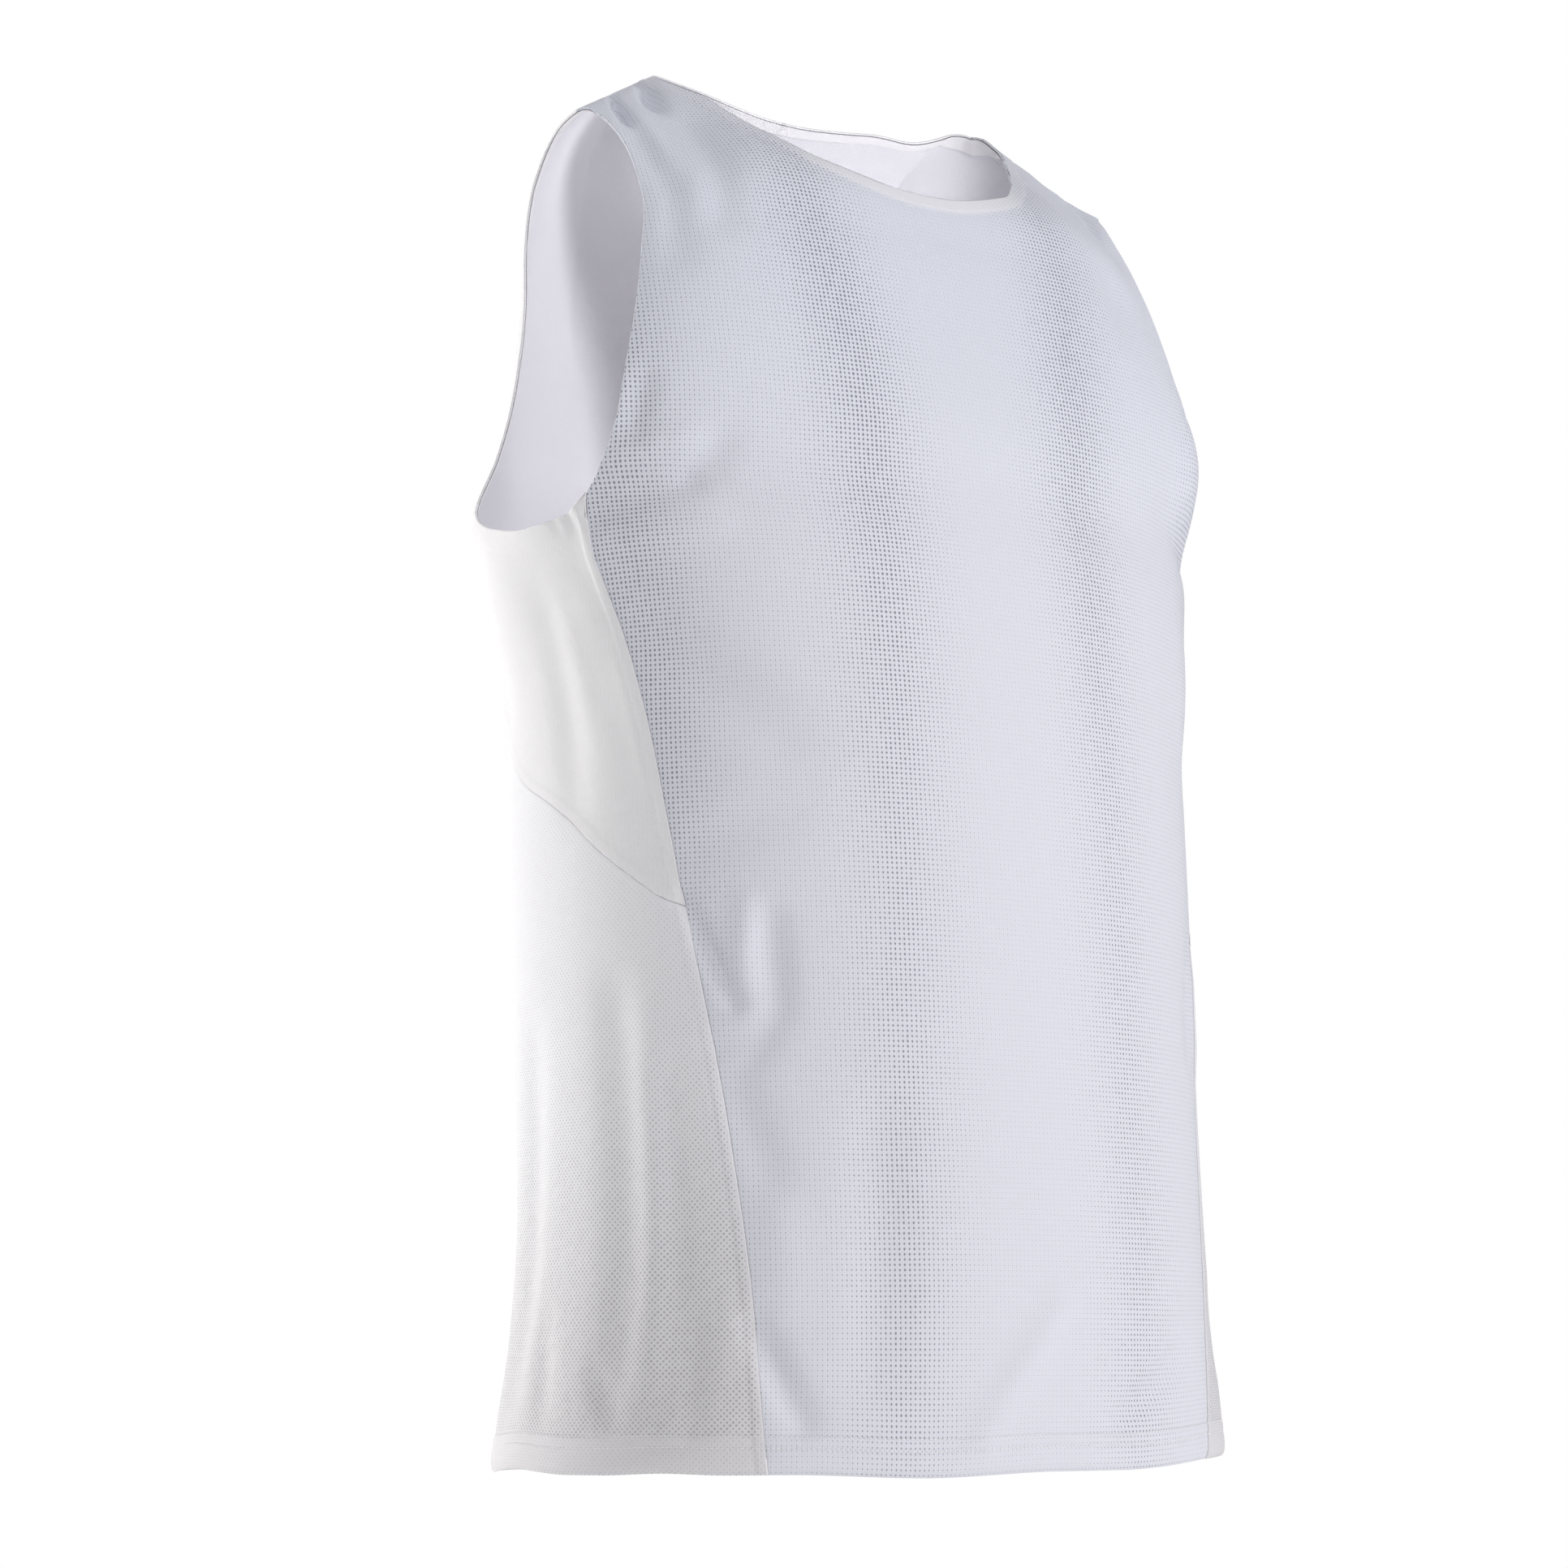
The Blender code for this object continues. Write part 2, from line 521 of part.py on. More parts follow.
def back_patches():
    """Main part and left wing of the yoke, and the mesh panel below them."""
    wing_seam = even([r for r in YOKE_SEAM if r[0] < ARM_GUIDE[0][0]] + [ARM_GUIDE[0]],
                     COLUMNS_WING)
    rest_seam = even([ARM_GUIDE[0]] + [r for r in YOKE_SEAM if r[0] > ARM_GUIDE[0][0]],
                     COLUMNS_STRAP + COLUMNS_BACK_NECK // 2, first=TAPED_EDGE)
    low, mid = side_seam_rows()
    guide = even(ARM_GUIDE, ROWS_WING, last=TAPED_EDGE)
    wing = patch(wing_seam, even(UNDERARM, COLUMNS_WING), mid, guide)

    arm = even(BACK_ARMHOLE, ROWS_ARMHOLE + ROWS_STRAP, last=TAPED_EDGE)
    left = np.concatenate([guide, arm[1:]])
    shoulder = np.array([180.0, 2.0]) - shoulder_seam()[::-1]
    neck = even(BACK_NECKLINE, COLUMNS_BACK_NECK // 2)
    top = around(np.concatenate([shoulder, neck[1:]]))
    main = patch(around(rest_seam), top, left, other_side(left)[::-1])
    for inner, outer in ((1, 0), (-2, -1)):
        corner = main[ROWS_WING, outer]
        main[ROWS_WING - 1, inner] = corner + TAPE_CORNER * (main[ROWS_WING - 1, inner] - corner)

    seam = around(np.concatenate([wing_seam, rest_seam[1:]]))
    run = lengths(seam)
    hem = straight(low[0], (360 - low[0, 0], low[0, 1]), run / run[-1])
    lower = patch(hem, seam, low, other_side(low)[::-1])
    return main, wing, lower


def other_wing(grid):
    """A back patch on the other side of the centre back."""
    return grid[:, ::-1] * np.array([-1.0, 1.0]) + np.array([360.0, 0.0])


def front_panel(centre, side, strap):
    """From side seam to side seam and over the top of the shoulders."""
    side = nudged(side, slice(0, UNDER + 1), -1, angle=-SIDE_GAP)
    strap = nudged(strap, -1, slice(None), height=-SHOULDER_GAP)
    grids = [centre, side, flipped(side), strap, flipped(strap)]
    grids += [hem_strip(g[0], 0) for g in (centre, side, flipped(side))]
    wall("front_panel", grids, FRONT_GREY)


def back_yoke(main, wing):
    """The upper back with a wing under each arm."""
    main = nudged(main, 0, slice(None), height=YOKE_GAP)
    for seam in (slice(0, COLUMNS_STRAP + 1), slice(-COLUMNS_STRAP - 1, None)):
        main = nudged(main, -1, seam, height=-SHOULDER_GAP)
    wing = nudged(wing, 0, slice(None), height=YOKE_GAP)
    wing = nudged(wing, slice(None), 0, angle=SIDE_GAP)
    wall("back_yoke", [main, wing, other_wing(wing)], BACK_WHITE)


def back_mesh_panel(lower):
    """The piece below the yoke, round to both side seams."""
    lower = nudged(lower, -1, slice(None), height=-YOKE_GAP)
    lower = nudged(lower, slice(None), 0, angle=SIDE_GAP)
    lower = nudged(lower, slice(None), -1, angle=-SIDE_GAP)
    wall("back_mesh_panel", [lower, hem_strip(lower[0], 180)], MESH_WHITE)


def neck_tape(centre, side, strap, main):
    """The tape inside the neckline, all round."""
    first, last = COLUMNS_STRAP - 1, COLUMNS_STRAP + COLUMNS_BACK_NECK + 2
    grids = [centre[-2:], main[-2:, first:last]]
    for grid in (side[-2:, :2], strap[:, :2]):
        grids += [grid, flipped(grid)]
    return grids


def armhole_tape(side, strap, main, wing, columns):
    """The tape inside an armhole, all round, in the columns next to its edge."""
    front, back = columns
    return [side[UNDER - 1:, front], strap[:, front], main[ROWS_WING - 1:, back], wing[-2:]]


for old in list(bpy.data.objects):
    bpy.data.objects.remove(old)

CENTRE, SIDE, STRAP = front_patches()
MAIN, WING, LOWER = back_patches()
front_panel(CENTRE, SIDE, STRAP)
back_yoke(MAIN, WING)
back_mesh_panel(LOWER)
TAPE_DEPTHS = {"outer": CLOTH + TAPE_IN, "inner": CLOTH + TAPE_IN + TAPE}
wall("neck_tape", neck_tape(CENTRE, SIDE, STRAP, MAIN), TAPE_WHITE, **TAPE_DEPTHS)
FIRST, LAST = slice(0, 2), slice(-2, None)
LEFT = armhole_tape(SIDE, STRAP, MAIN, WING, (LAST, FIRST))
RIGHT = armhole_tape(flipped(SIDE), flipped(STRAP), MAIN, other_wing(WING), (FIRST, LAST))
wall("armhole_tape_left", LEFT, TAPE_WHITE, **TAPE_DEPTHS)
wall("armhole_tape_right", RIGHT, TAPE_WHITE, **TAPE_DEPTHS)
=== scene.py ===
"""The looks of the running singlet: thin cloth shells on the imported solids, knits, hem stitches,
soft studio light and the camera.

Metres, +Z up, front towards -Y, the wearer's left towards +X, as in the solids. A place on the
cloth has two co-ordinates. The angle runs round the body in degrees: 0 at the centre front, 90 at
the wearer's left side, 180 at the centre back. The height runs from 0 at the hem to 1 along the
top of the shoulders, and past 1 it goes over the shoulder to the back.
"""

import math
from collections import namedtuple

import bpy
import numpy as np
from mathutils import Matrix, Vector
from mathutils.kdtree import KDTree


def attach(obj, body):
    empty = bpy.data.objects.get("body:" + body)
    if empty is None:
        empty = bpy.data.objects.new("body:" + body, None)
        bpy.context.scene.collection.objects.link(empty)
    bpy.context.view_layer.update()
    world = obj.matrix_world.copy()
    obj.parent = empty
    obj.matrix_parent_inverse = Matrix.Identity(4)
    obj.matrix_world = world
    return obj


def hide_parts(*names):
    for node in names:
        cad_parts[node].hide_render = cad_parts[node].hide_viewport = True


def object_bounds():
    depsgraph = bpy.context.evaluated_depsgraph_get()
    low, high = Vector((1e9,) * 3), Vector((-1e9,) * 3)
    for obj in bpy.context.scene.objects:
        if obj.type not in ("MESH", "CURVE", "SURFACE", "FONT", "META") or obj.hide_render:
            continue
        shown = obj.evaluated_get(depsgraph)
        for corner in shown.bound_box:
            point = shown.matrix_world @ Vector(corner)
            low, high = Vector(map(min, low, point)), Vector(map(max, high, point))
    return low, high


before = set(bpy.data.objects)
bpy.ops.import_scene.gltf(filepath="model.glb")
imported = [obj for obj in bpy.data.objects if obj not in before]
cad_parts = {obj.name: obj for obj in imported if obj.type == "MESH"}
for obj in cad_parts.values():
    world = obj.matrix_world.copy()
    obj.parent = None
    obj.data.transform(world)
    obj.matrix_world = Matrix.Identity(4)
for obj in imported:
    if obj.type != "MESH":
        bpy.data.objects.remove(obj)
CAD_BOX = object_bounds()

# Cloth and trims
CLOTH = 0.0007  # wall of one layer of knit
FOLDED = 0.0012  # wall where an edge is folded in
TAPE = 0.0005  # bonded tape inside the neck and the armholes
TAPE_IN = 0.0001  # space between the wall and its tape
TAPE_WIDE = 0.0092
TAPE_BACK = 0.0004  # how far a tape stays back from its edge
TAPE_ROWS = 6
STRIP_STEPS = 3  # straight steps between two rows of a tape
HEM_DEEP = 0.0172  # the folded hem
STITCH_ROWS = (0.0120, 0.0174)  # both rows of the hem's coverstitch, from its edge
HEM_CURL = 0.0016  # how far the hem's edge turns in
HEM_CURL_DEEP = 0.0060
HEM_PROUD = 0.00034
STITCH_DIP = 0.00042
EDGE_FOLD = 0.0090  # the folded edge of the neck
NECK_PROUD = 0.00030
SEAM_ALLOWANCE = 0.0050  # it lies inside the white cloth and lifts it beside a seam
SEAM_PROUD = 0.00036
YOKE_PROUD = 0.00030  # the yoke laps over the lower back
YOKE_DIP = 0.00024
RIM_GAP = 0.0001  # between a shell's rolled edge and its seam

# Shoulder line: how far the outer tip lies below and in front of the neck point
TIP_DROP = 0.0437
TIP_FORWARD = 0.0337
NECK_HALF = 0.1008
TIP_HALF = 0.1715
SHOULDER_SEAM = 1.006  # the seam lies just behind the top of the shoulder
ALONG_LIMITS = (-0.08, 1.6)  # how far past the shoulder line's ends its slope goes on

# Sections of the body from hem to shoulder, one row each. The front's numbers turn into the
# back's over this much of the cosine of the angle, round each side
SIDE_BLEND = 0.34
Section = namedtuple("Section", (
    "height", "front_drop", "back_drop", "front_half_width", "back_half_width",
    "front_depth", "back_depth", "centre_y", "front_square", "back_square",
    "slope_share", "forward_share",
))
SECTIONS = (
    (0.000, 0.7080, 0.7080, 0.1922, 0.1922, 0.1358, 0.1358, -0.0352, 2.25, 2.25, 0.00, 0.00),
    (0.120, 0.6200, 0.6200, 0.1799, 0.1799, 0.1361, 0.1361, -0.0374, 2.25, 2.25, 0.00, 0.00),
    (0.260, 0.5200, 0.5200, 0.1770, 0.1770, 0.1363, 0.1363, -0.0332, 2.25, 2.25, 0.00, 0.00),
    (0.400, 0.4200, 0.4200, 0.1788, 0.1788, 0.1366, 0.1366, -0.0281, 2.25, 2.25, 0.00, 0.00),
    (0.525, 0.3300, 0.3300, 0.1815, 0.1815, 0.1330, 0.1340, -0.0236, 2.30, 2.30, 0.00, 0.00),
    (0.610, 0.2680, 0.2680, 0.1930, 0.1930, 0.1290, 0.1320, -0.0185, 2.30, 2.30, 0.00, 0.00),
    (0.650, 0.2380, 0.2400, 0.2045, 0.1962, 0.1252, 0.1295, -0.0165, 2.12, 2.40, 0.02, 0.00),
    (0.700, 0.2020, 0.2033, 0.2060, 0.1846, 0.1233, 0.1250, -0.0150, 2.30, 2.36, 0.08, 0.10),
    (0.770, 0.1500, 0.1548, 0.1915, 0.1727, 0.1153, 0.1195, -0.0120, 2.90, 2.45, 0.30, 0.18),
    (0.830, 0.1050, 0.1063, 0.1805, 0.1683, 0.1049, 0.1104, -0.0100, 3.03, 2.48, 0.55, 0.29),
    (0.880, 0.0680, 0.0619, 0.1739, 0.1713, 0.0896, 0.0973, -0.0100, 2.94, 2.60, 0.80, 0.52),
    (0.920, 0.0380, 0.0265, 0.1754, 0.1780, 0.0567, 0.0785, -0.0110, 2.75, 2.80, 0.95, 0.92),
    (0.960, 0.0120, 0.0053, 0.1765, 0.1790, 0.0249, 0.0464, -0.0130, 2.60, 2.70, 1.00, 1.00),
    (1.000, 0.0000, 0.0000, 0.1715, 0.1715, 0.0000, 0.0000, -0.0150, 2.40, 2.40, 1.00, 1.00),
)

# Seams and edges on the wearer's left half, each a row of (angle, height)
SIDE_SEAM = (
    (40.4, 0.000), (43.2, 0.060), (45.8, 0.120), (48.2, 0.180), (50.4, 0.240), (53.0, 0.300),
    (56.0, 0.362), (58.3, 0.420), (61.0, 0.480), (63.7, 0.530), (65.8, 0.570), (66.6, 0.600),
    (65.8, 0.623), (64.4, 0.640),
)
YOKE_CORNER = SIDE_SEAM.index((56.0, 0.362))  # where the yoke seam meets the side seam
FRONT_ARMHOLE = (
    (64.4, 0.640), (62.0, 0.649), (59.2, 0.664), (56.9, 0.686), (54.9, 0.722), (53.5, 0.778),
    (53.3, 0.814), (53.6, 0.851), (53.9, 0.892), (53.8, 0.914), (53.9, 0.932), (54.8, 0.948),
    (57.4, 0.966), (62.5, 0.983), (68.0, 0.995), (70.0, SHOULDER_SEAM),
)
STRAP_FOOT = FRONT_ARMHOLE.index((53.9, 0.892))  # where the strap begins
BACK_ARMHOLE = (
    (109.6, 0.656), (111.8, 0.668), (112.6, 0.682), (112.4, 0.700), (111.1, 0.739),
    (109.8, 0.783), (112.6, 0.848), (117.6, 0.880), (122.2, 0.905), (124.4, 0.933),
    (122.4, 0.957), (117.0, 0.974), (112.5, 0.986), (110.0, 2 - SHOULDER_SEAM),
)
UNDERARM = (
    (64.4, 0.640), (69.2, 0.629), (74.0, 0.625), (79.2, 0.6235), (84.4, 0.6235), (90.0, 0.6265),
    (95.2, 0.6315), (100.6, 0.6375), (105.4, 0.6455), (109.6, 0.656),
)
FRONT_NECKLINE = (
    (0.0, 0.869), (6.6, 0.871), (11.3, 0.8755), (15.5, 0.881), (19.7, 0.888), (22.3, 0.897),
    (25.0, 0.907), (27.9, 0.922), (30.6, 0.940), (33.6, 0.962), (35.9, 0.982), (35.9, 1.000),
    (35.2, SHOULDER_SEAM),
)
NECK_CORNER = 6  # the row of the neckline that ends its low curve
BACK_NECKLINE = (
    (144.8, 2 - SHOULDER_SEAM), (149.5, 0.992), (154.0, 0.989), (160.0, 0.985), (168.0, 0.979),
    (176.0, 0.9746), (180.0, 0.974),
)
YOKE_SEAM = (
    (56.0, 0.362), (60.0, 0.368), (66.0, 0.383), (74.4, 0.405), (82.4, 0.427), (91.0, 0.444),
    (99.0, 0.457), (104.0, 0.469), (109.6, 0.488), (120.0, 0.520), (135.0, 0.555),
    (150.0, 0.578), (165.0, 0.590), (180.0, 0.594),
)
FRONT_GUIDE = ((16.0, 0.0), (22.0, 0.36), (26.0, 0.62), (24.6, 0.80), (25.0, 0.907))
ARM_GUIDE = ((112.0, 0.4955), (111.6, 0.57), (109.6, 0.656))

# Soft troughs (depth < 0) and ridges (depth > 0), each along a straight run
Fold = namedtuple("Fold", ("angle_from", "drop_from", "angle_to", "drop_to", "half_width", "depth"))
DEGREE = 0.0029  # cloth along one degree of the body
FOLD_ENDS = 1.6  # half-widths over which a fold fades past its ends
FOLD_FALL = 1.4  # how fast it falls off sideways
FOLD_SWELL = (0.45, 0.55)  # its depth at the ends, and what the middle adds
SWELL_RUN = (0.12, 0.76)  # the part of an arch that the swell takes up
FOLDS = (
    (-62, 0.246, -46, 0.241, 0.008, -0.0036),
    (-46, 0.240, -39, 0.224, 0.008, -0.0026),
    (-51, 0.194, -54, 0.220, 0.008, -0.0030),
    (-59, 0.232, -45, 0.221, 0.009, 0.0022),
    (-63, 0.259, -41, 0.240, 0.006, -0.0016),
    (-66, 0.274, -44, 0.262, 0.012, 0.0022),
    (-64, 0.310, -38, 0.366, 0.022, -0.0038),
    (-55, 0.420, -38, 0.404, 0.014, -0.0016),
    (-56, 0.444, -48.2, 0.492, 0.006, -0.0044),
    (-41.6, 0.456, -41, 0.494, 0.009, -0.0040),
    (-41.4, 0.500, -46, 0.520, 0.009, -0.0022),
    (-45.4, 0.446, -46.6, 0.484, 0.008, 0.0020),
    (-52.5, 0.514, -47, 0.511, 0.006, -0.0016),
    (-49, 0.528, -43, 0.572, 0.012, -0.0024),
    (-112, 0.312, -112, 0.346, 0.022, -0.0030),
    (50, 0.298, 50, 0.344, 0.020, 0.0030),
    (-26, 0.550, -26, 0.662, 0.017, -0.0028),
    (-60, 0.530, -57, 0.668, 0.014, -0.0034),
    (-71, 0.490, -68, 0.668, 0.016, -0.0032),
    (-65, 0.500, -63, 0.660, 0.012, 0.0014),
    (-45, 0.640, -36, 0.684, 0.008, -0.0044),
    (5, 0.630, -9, 0.690, 0.010, 0.0026),
    (-51.2, 0.030, -49.8, 0.046, 0.0044, -0.0072),
    (-39.8, 0.014, -41, 0.032, 0.007, -0.0072),
    (-46.5, 0.042, -46, 0.075, 0.008, 0.0020),
    (-49, 0.060, -46, 0.126, 0.012, -0.0022),
    (-37.5, 0.045, -38.5, 0.104, 0.012, -0.0030),
    (38, 0.094, 36, 0.126, 0.013, -0.0026),
    (46, 0.030, 48, 0.072, 0.009, -0.0028),
    (66, 0.248, 42, 0.224, 0.014, -0.0036),
    (66, 0.300, 56, 0.350, 0.018, -0.0026),
    (51, 0.446, 46, 0.500, 0.010, -0.0032),
    (56, 0.520, 54, 0.650, 0.016, -0.0030),
    (72, 0.480, 70, 0.660, 0.017, -0.0036),
    (82, 0.300, 78, 0.400, 0.018, -0.0026),
    (-84, 0.300, -80, 0.390, 0.018, -0.0024),
    (118, 0.180, 150, 0.260, 0.024, -0.0040),
    (-120, 0.180, -148, 0.270, 0.024, -0.0038),
    (112, 0.262, 128, 0.350, 0.020, -0.0030),
    (-112, 0.270, -130, 0.340, 0.020, -0.0032),
    (140, 0.420, 128, 0.560, 0.024, -0.0040),
    (-138, 0.430, -130, 0.580, 0.026, -0.0042),
    (176, 0.380, 166, 0.640, 0.030, -0.0044),
    (-160, 0.400, -154, 0.660, 0.026, -0.0036),
    (104, 0.520, 108, 0.680, 0.020, -0.0034),
    (-100, 0.510, -104, 0.670, 0.020, -0.0036),
    (150, 0.060, 160, 0.150, 0.022, -0.0024),
    (-152, 0.060, -164, 0.160, 0.022, -0.0026),
    (50, 0.172, 50, 0.212, 0.019, 0.0052),
    (58, 0.470, 58, 0.610, 0.020, 0.0022),
    (62, 0.062, 52, 0.150, 0.022, 0.0032),
    (-68, 0.252, -67, 0.300, 0.006, 0.0008),
    (-67, 0.312, -62, 0.392, 0.006, 0.0008),
    (-75, 0.244, -74, 0.262, 0.0040, -0.0012),
    (-72, 0.238, -70, 0.262, 0.0040, -0.0017),
    (-69, 0.236, -67, 0.264, 0.0036, 0.0012),
    (75, 0.242, 73, 0.262, 0.0040, -0.0015),
    (70, 0.236, 69, 0.264, 0.0038, -0.0013),
    (52, 0.032, 48, 0.060, 0.0050, -0.0026),
    (43, 0.026, 42, 0.050, 0.0050, -0.0022),
    (-76, 0.296, -71, 0.345, 0.013, -0.0010),
    (-92, 0.640, -88, 0.680, 0.012, -0.0017),
    (-74, 0.662, -68, 0.684, 0.007, -0.0018),
    (-54, 0.636, -53, 0.688, 0.008, -0.0020),
    (-42, 0.588, -40, 0.630, 0.014, 0.0016),
    (34, 0.652, 16, 0.686, 0.009, -0.0044),
    (70, 0.650, 75, 0.692, 0.009, -0.0020),
    (101, 0.644, 96, 0.694, 0.008, -0.0022),
    (128, 0.655, 132, 0.694, 0.010, -0.0018),
    (166, 0.648, 160, 0.692, 0.010, -0.0022),
    (-118, 0.650, -124, 0.694, 0.009, -0.0020),
    (-150, 0.646, -146, 0.690, 0.009, -0.0021),
    (-179, 0.660, -173, 0.694, 0.008, -0.0016),
)

# Places where the cloth hangs higher or lower than the plain form, above all at its edges
Rise = namedtuple("Rise", ("x", "y", "z", "reach", "up"))
RISES = (
    (0.100, 0.010, 0.000, 0.034, 0.0056),
    (0.105, 0.003, 0.001, 0.018, 0.0027),
    (0.116, -0.006, -0.004, 0.030, 0.0019),
    (0.150, -0.030, -0.034, 0.034, -0.0024),
    (0.162, -0.045, -0.052, 0.030, 0.0009),
    (0.080, 0.015, 0.002, 0.032, -0.0038),
    (-0.104, -0.005, -0.002, 0.011, -0.0012),
    (-0.035, 0.028, 0.002, 0.075, 0.0016),
    (0.155, -0.120, -0.706, 0.110, 0.0055),
    (-0.190, -0.020, -0.706, 0.045, 0.0022),
    (-0.167, -0.111, -0.706, 0.030, 0.0009),
    (-0.055, -0.168, -0.708, 0.070, -0.0021),
    (0.190, 0.020, -0.706, 0.080, -0.0020),
    (0.060, 0.100, -0.708, 0.090, 0.0030),
    (-0.080, 0.095, -0.708, 0.080, -0.0018),
)

# Where the mesh of the shells is finer: distances from a seam, a finished edge and the hem
SEAM_STEPS = (0.0009, 0.0018, 0.0030, 0.0041, 0.0049, 0.0057, 0.0067, 0.0084, 0.0106)
EDGE_STEPS = (0.0009, 0.0022, 0.0044, 0.0066, 0.0080, 0.0088, 0.0095, 0.0103, 0.0122)
HEM_STEPS = (
    0.0010, 0.0036, 0.0066, 0.0094, 0.0110, 0.0119, 0.0128, 0.0146, 0.0164, 0.0173, 0.0182, 0.0200,
)
PITCH = 0.0030  # elsewhere

# Camera
CAMERA_AT = (-1.0923, -1.5851, -0.6705)
CAMERA_TURN = -34.0
CAMERA_PITCH = 9.11
CAMERA_ROLL = -0.2
LENS = 86.95

# Light. A soft box stands towards the camera's left, the camera and up, in these shares
MIDDLE = (0.0, -0.03, -0.36)
BOX_AWAY = 2.5
BOX_SIZE = (1.5, 2.0)
SoftBox = namedtuple("SoftBox", ("name", "towards", "power", "colour"))
SOFT_BOXES = (
    ("left_box", (1.0, -0.5, 0.1), 66.0, (1.0, 0.983, 0.953)),
    ("front_box", (0.0, 1.0, 0.8), 27.5, (1.0, 0.985, 0.985)),
    ("right_box", (-1.0, 0.3, 0.1), 34.5, (0.985, 0.975, 1.0)),
    ("rim_box", (0.3, -0.8, 0.9), 12.0, (1.0, 1.0, 1.0)),
)
Lamp = namedtuple("Lamp", ("name", "place", "aim", "cone", "blend", "power"))
INSIDE_LAMPS = (
    ("armhole_lamp", (0.13, -0.05, -0.175), (-0.20, -0.05, -0.20), 79.0, 0.08, 2.15),
    ("neck_lamp", (0.079, -0.031, -0.226), (0.047, 0.041, -0.051), 51.0, 0.66, 1.7),
)
LAMP_RADIUS = 0.012
SKY = 0.14
SKY_COLOUR = (0.90, 0.90, 1.0, 1)
FLOOR_BELOW_HEM = 0.30
FLOOR_RADIUS = 4.0
FLOOR_GLOW = 0.22


# -------------------- the form of the cloth


def smooth(rows, at):
    """The cubic curve through rows, whose first column is the key, at each value of at."""
    table = np.array(rows, float)
    keys, values = table[:, 0], table[:, 1:]
    slopes = np.gradient(values, keys, axis=0)
    at = np.asarray(at, float)
    i = np.clip(np.searchsorted(keys, at, side="right") - 1, 0, len(keys) - 2)
    span = keys[i + 1] - keys[i]
    t, span = ((at - keys[i]) / span)[..., None], span[..., None]
    return (
        (2 * t**3 - 3 * t**2 + 1) * values[i]
        + (t**3 - 2 * t**2 + t) * span * slopes[i]
        + (3 * t**2 - 2 * t**3) * values[i + 1]
        + (t**3 - t**2) * span * slopes[i + 1]
    )


def section_table():
    """SECTIONS and its mirror image past the shoulder, where the depths change sign."""
    rows = [Section(*row) for row in SECTIONS]
    past = [
        row._replace(height=2 - row.height, front_depth=-row.front_depth, back_depth=-row.back_depth)
        for row in rows[-2:-4:-1]
    ]
    return np.array(rows + past, float)


def soft_step(t):
    t = np.clip(t, 0, 1)
    return t * t * (3 - 2 * t)


def body(angle, height):
    """The smooth form, without folds."""
    over = height > 1
    u = np.radians(np.where(over, 180 - angle, angle))
    height = np.where(over, 2 - height, height)
    here = Section(height, *np.moveaxis(smooth(section_table(), height), -1, 0))
    s, c = np.sin(u), np.cos(u)
    back = soft_step(0.5 - c / SIDE_BLEND)
    half = here.front_half_width + (here.back_half_width - here.front_half_width) * back
    square = here.front_square + (here.back_square - here.front_square) * back
    drop = here.front_drop + (here.back_drop - here.front_drop) * back
    depth = np.where(c > 0, here.front_depth, here.back_depth)
    reach = (np.abs(s) ** square + np.abs(c) ** square) ** (-1 / square)
    x = half * reach * s
    along = np.clip((np.abs(x) - NECK_HALF) / (TIP_HALF - NECK_HALF), *ALONG_LIMITS)
    y = (
        here.centre_y * (1 - here.slope_share) - depth * reach * c
        - here.forward_share * TIP_FORWARD * along
    )
    z = -drop - here.slope_share * TIP_DROP * along
    return np.stack([x, y, z], -1)


def unit(v):
    return v / np.linalg.norm(v, axis=-1, keepdims=True)


def tangents(form, angle, height):
    """Along the angle, a degree at a time, and along the height, all of it."""
    da, dh = 0.05, 0.0005
    across = (form(angle + da, height) - form(angle - da, height)) / (2 * da)
    up = (form(angle, height + dh) - form(angle, height - dh)) / (2 * dh)
    return across, up


def outward(form, angle, height):
    """The unit normal of a form, pointing away from the body."""
    return unit(np.cross(*tangents(form, angle, height)))


def fold_depth(angle, drop):
    """How far the folds move the cloth outwards."""
    turned = (angle + 180) % 360 - 180
    total = np.zeros_like(turned)
    for fold in (Fold(*row) for row in FOLDS):
        run = (fold.angle_to - fold.angle_from) * DEGREE, fold.drop_to - fold.drop_from
        length = math.hypot(*run)
        right = ((turned - fold.angle_from + 180) % 360 - 180) * DEGREE
        down = drop - fold.drop_from
        t = (right * run[0] + down * run[1]) / length**2
        aside = (right * run[1] - down * run[0]) / length
        past = np.maximum(np.maximum(-t, t - 1), 0) * length
        faded = soft_step(1 - past / (FOLD_ENDS * fold.half_width))
        arch = np.sin(np.pi * np.clip(SWELL_RUN[0] + SWELL_RUN[1] * t, 0, 1))
        swell = FOLD_SWELL[0] + FOLD_SWELL[1] * arch
        total += fold.depth * faded * swell * np.exp(-FOLD_FALL * (aside / fold.half_width) ** 2)
    return total


def rise(points):
    """How far the places of uneven hang move the cloth up."""
    total = np.zeros(points.shape[:-1])
    for place in (Rise(*row) for row in RISES):
        away = np.linalg.norm(points - np.array([place.x, place.y, place.z]), axis=-1)
        total += place.up * soft_step(1 - away / place.reach)
    return total


def cloth(angle, height):
    """The outside of the cloth, folds and all."""
    angle, height = np.asarray(angle, float), np.asarray(height, float)
    points = body(angle, height)
    over = height > 1
    folded = points + outward(body, angle, height) * fold_depth(
        np.where(over, 180 - angle, angle), -points[..., 2]
    )[..., None]
    folded[..., 2] += rise(points)
    return folded


# -------------------- lines and patches of places


def lengths(line):
    steps = np.linalg.norm(np.diff(body(line[:, 0], line[:, 1]), axis=0), axis=1)
    return np.concatenate([[0], np.cumsum(steps)])


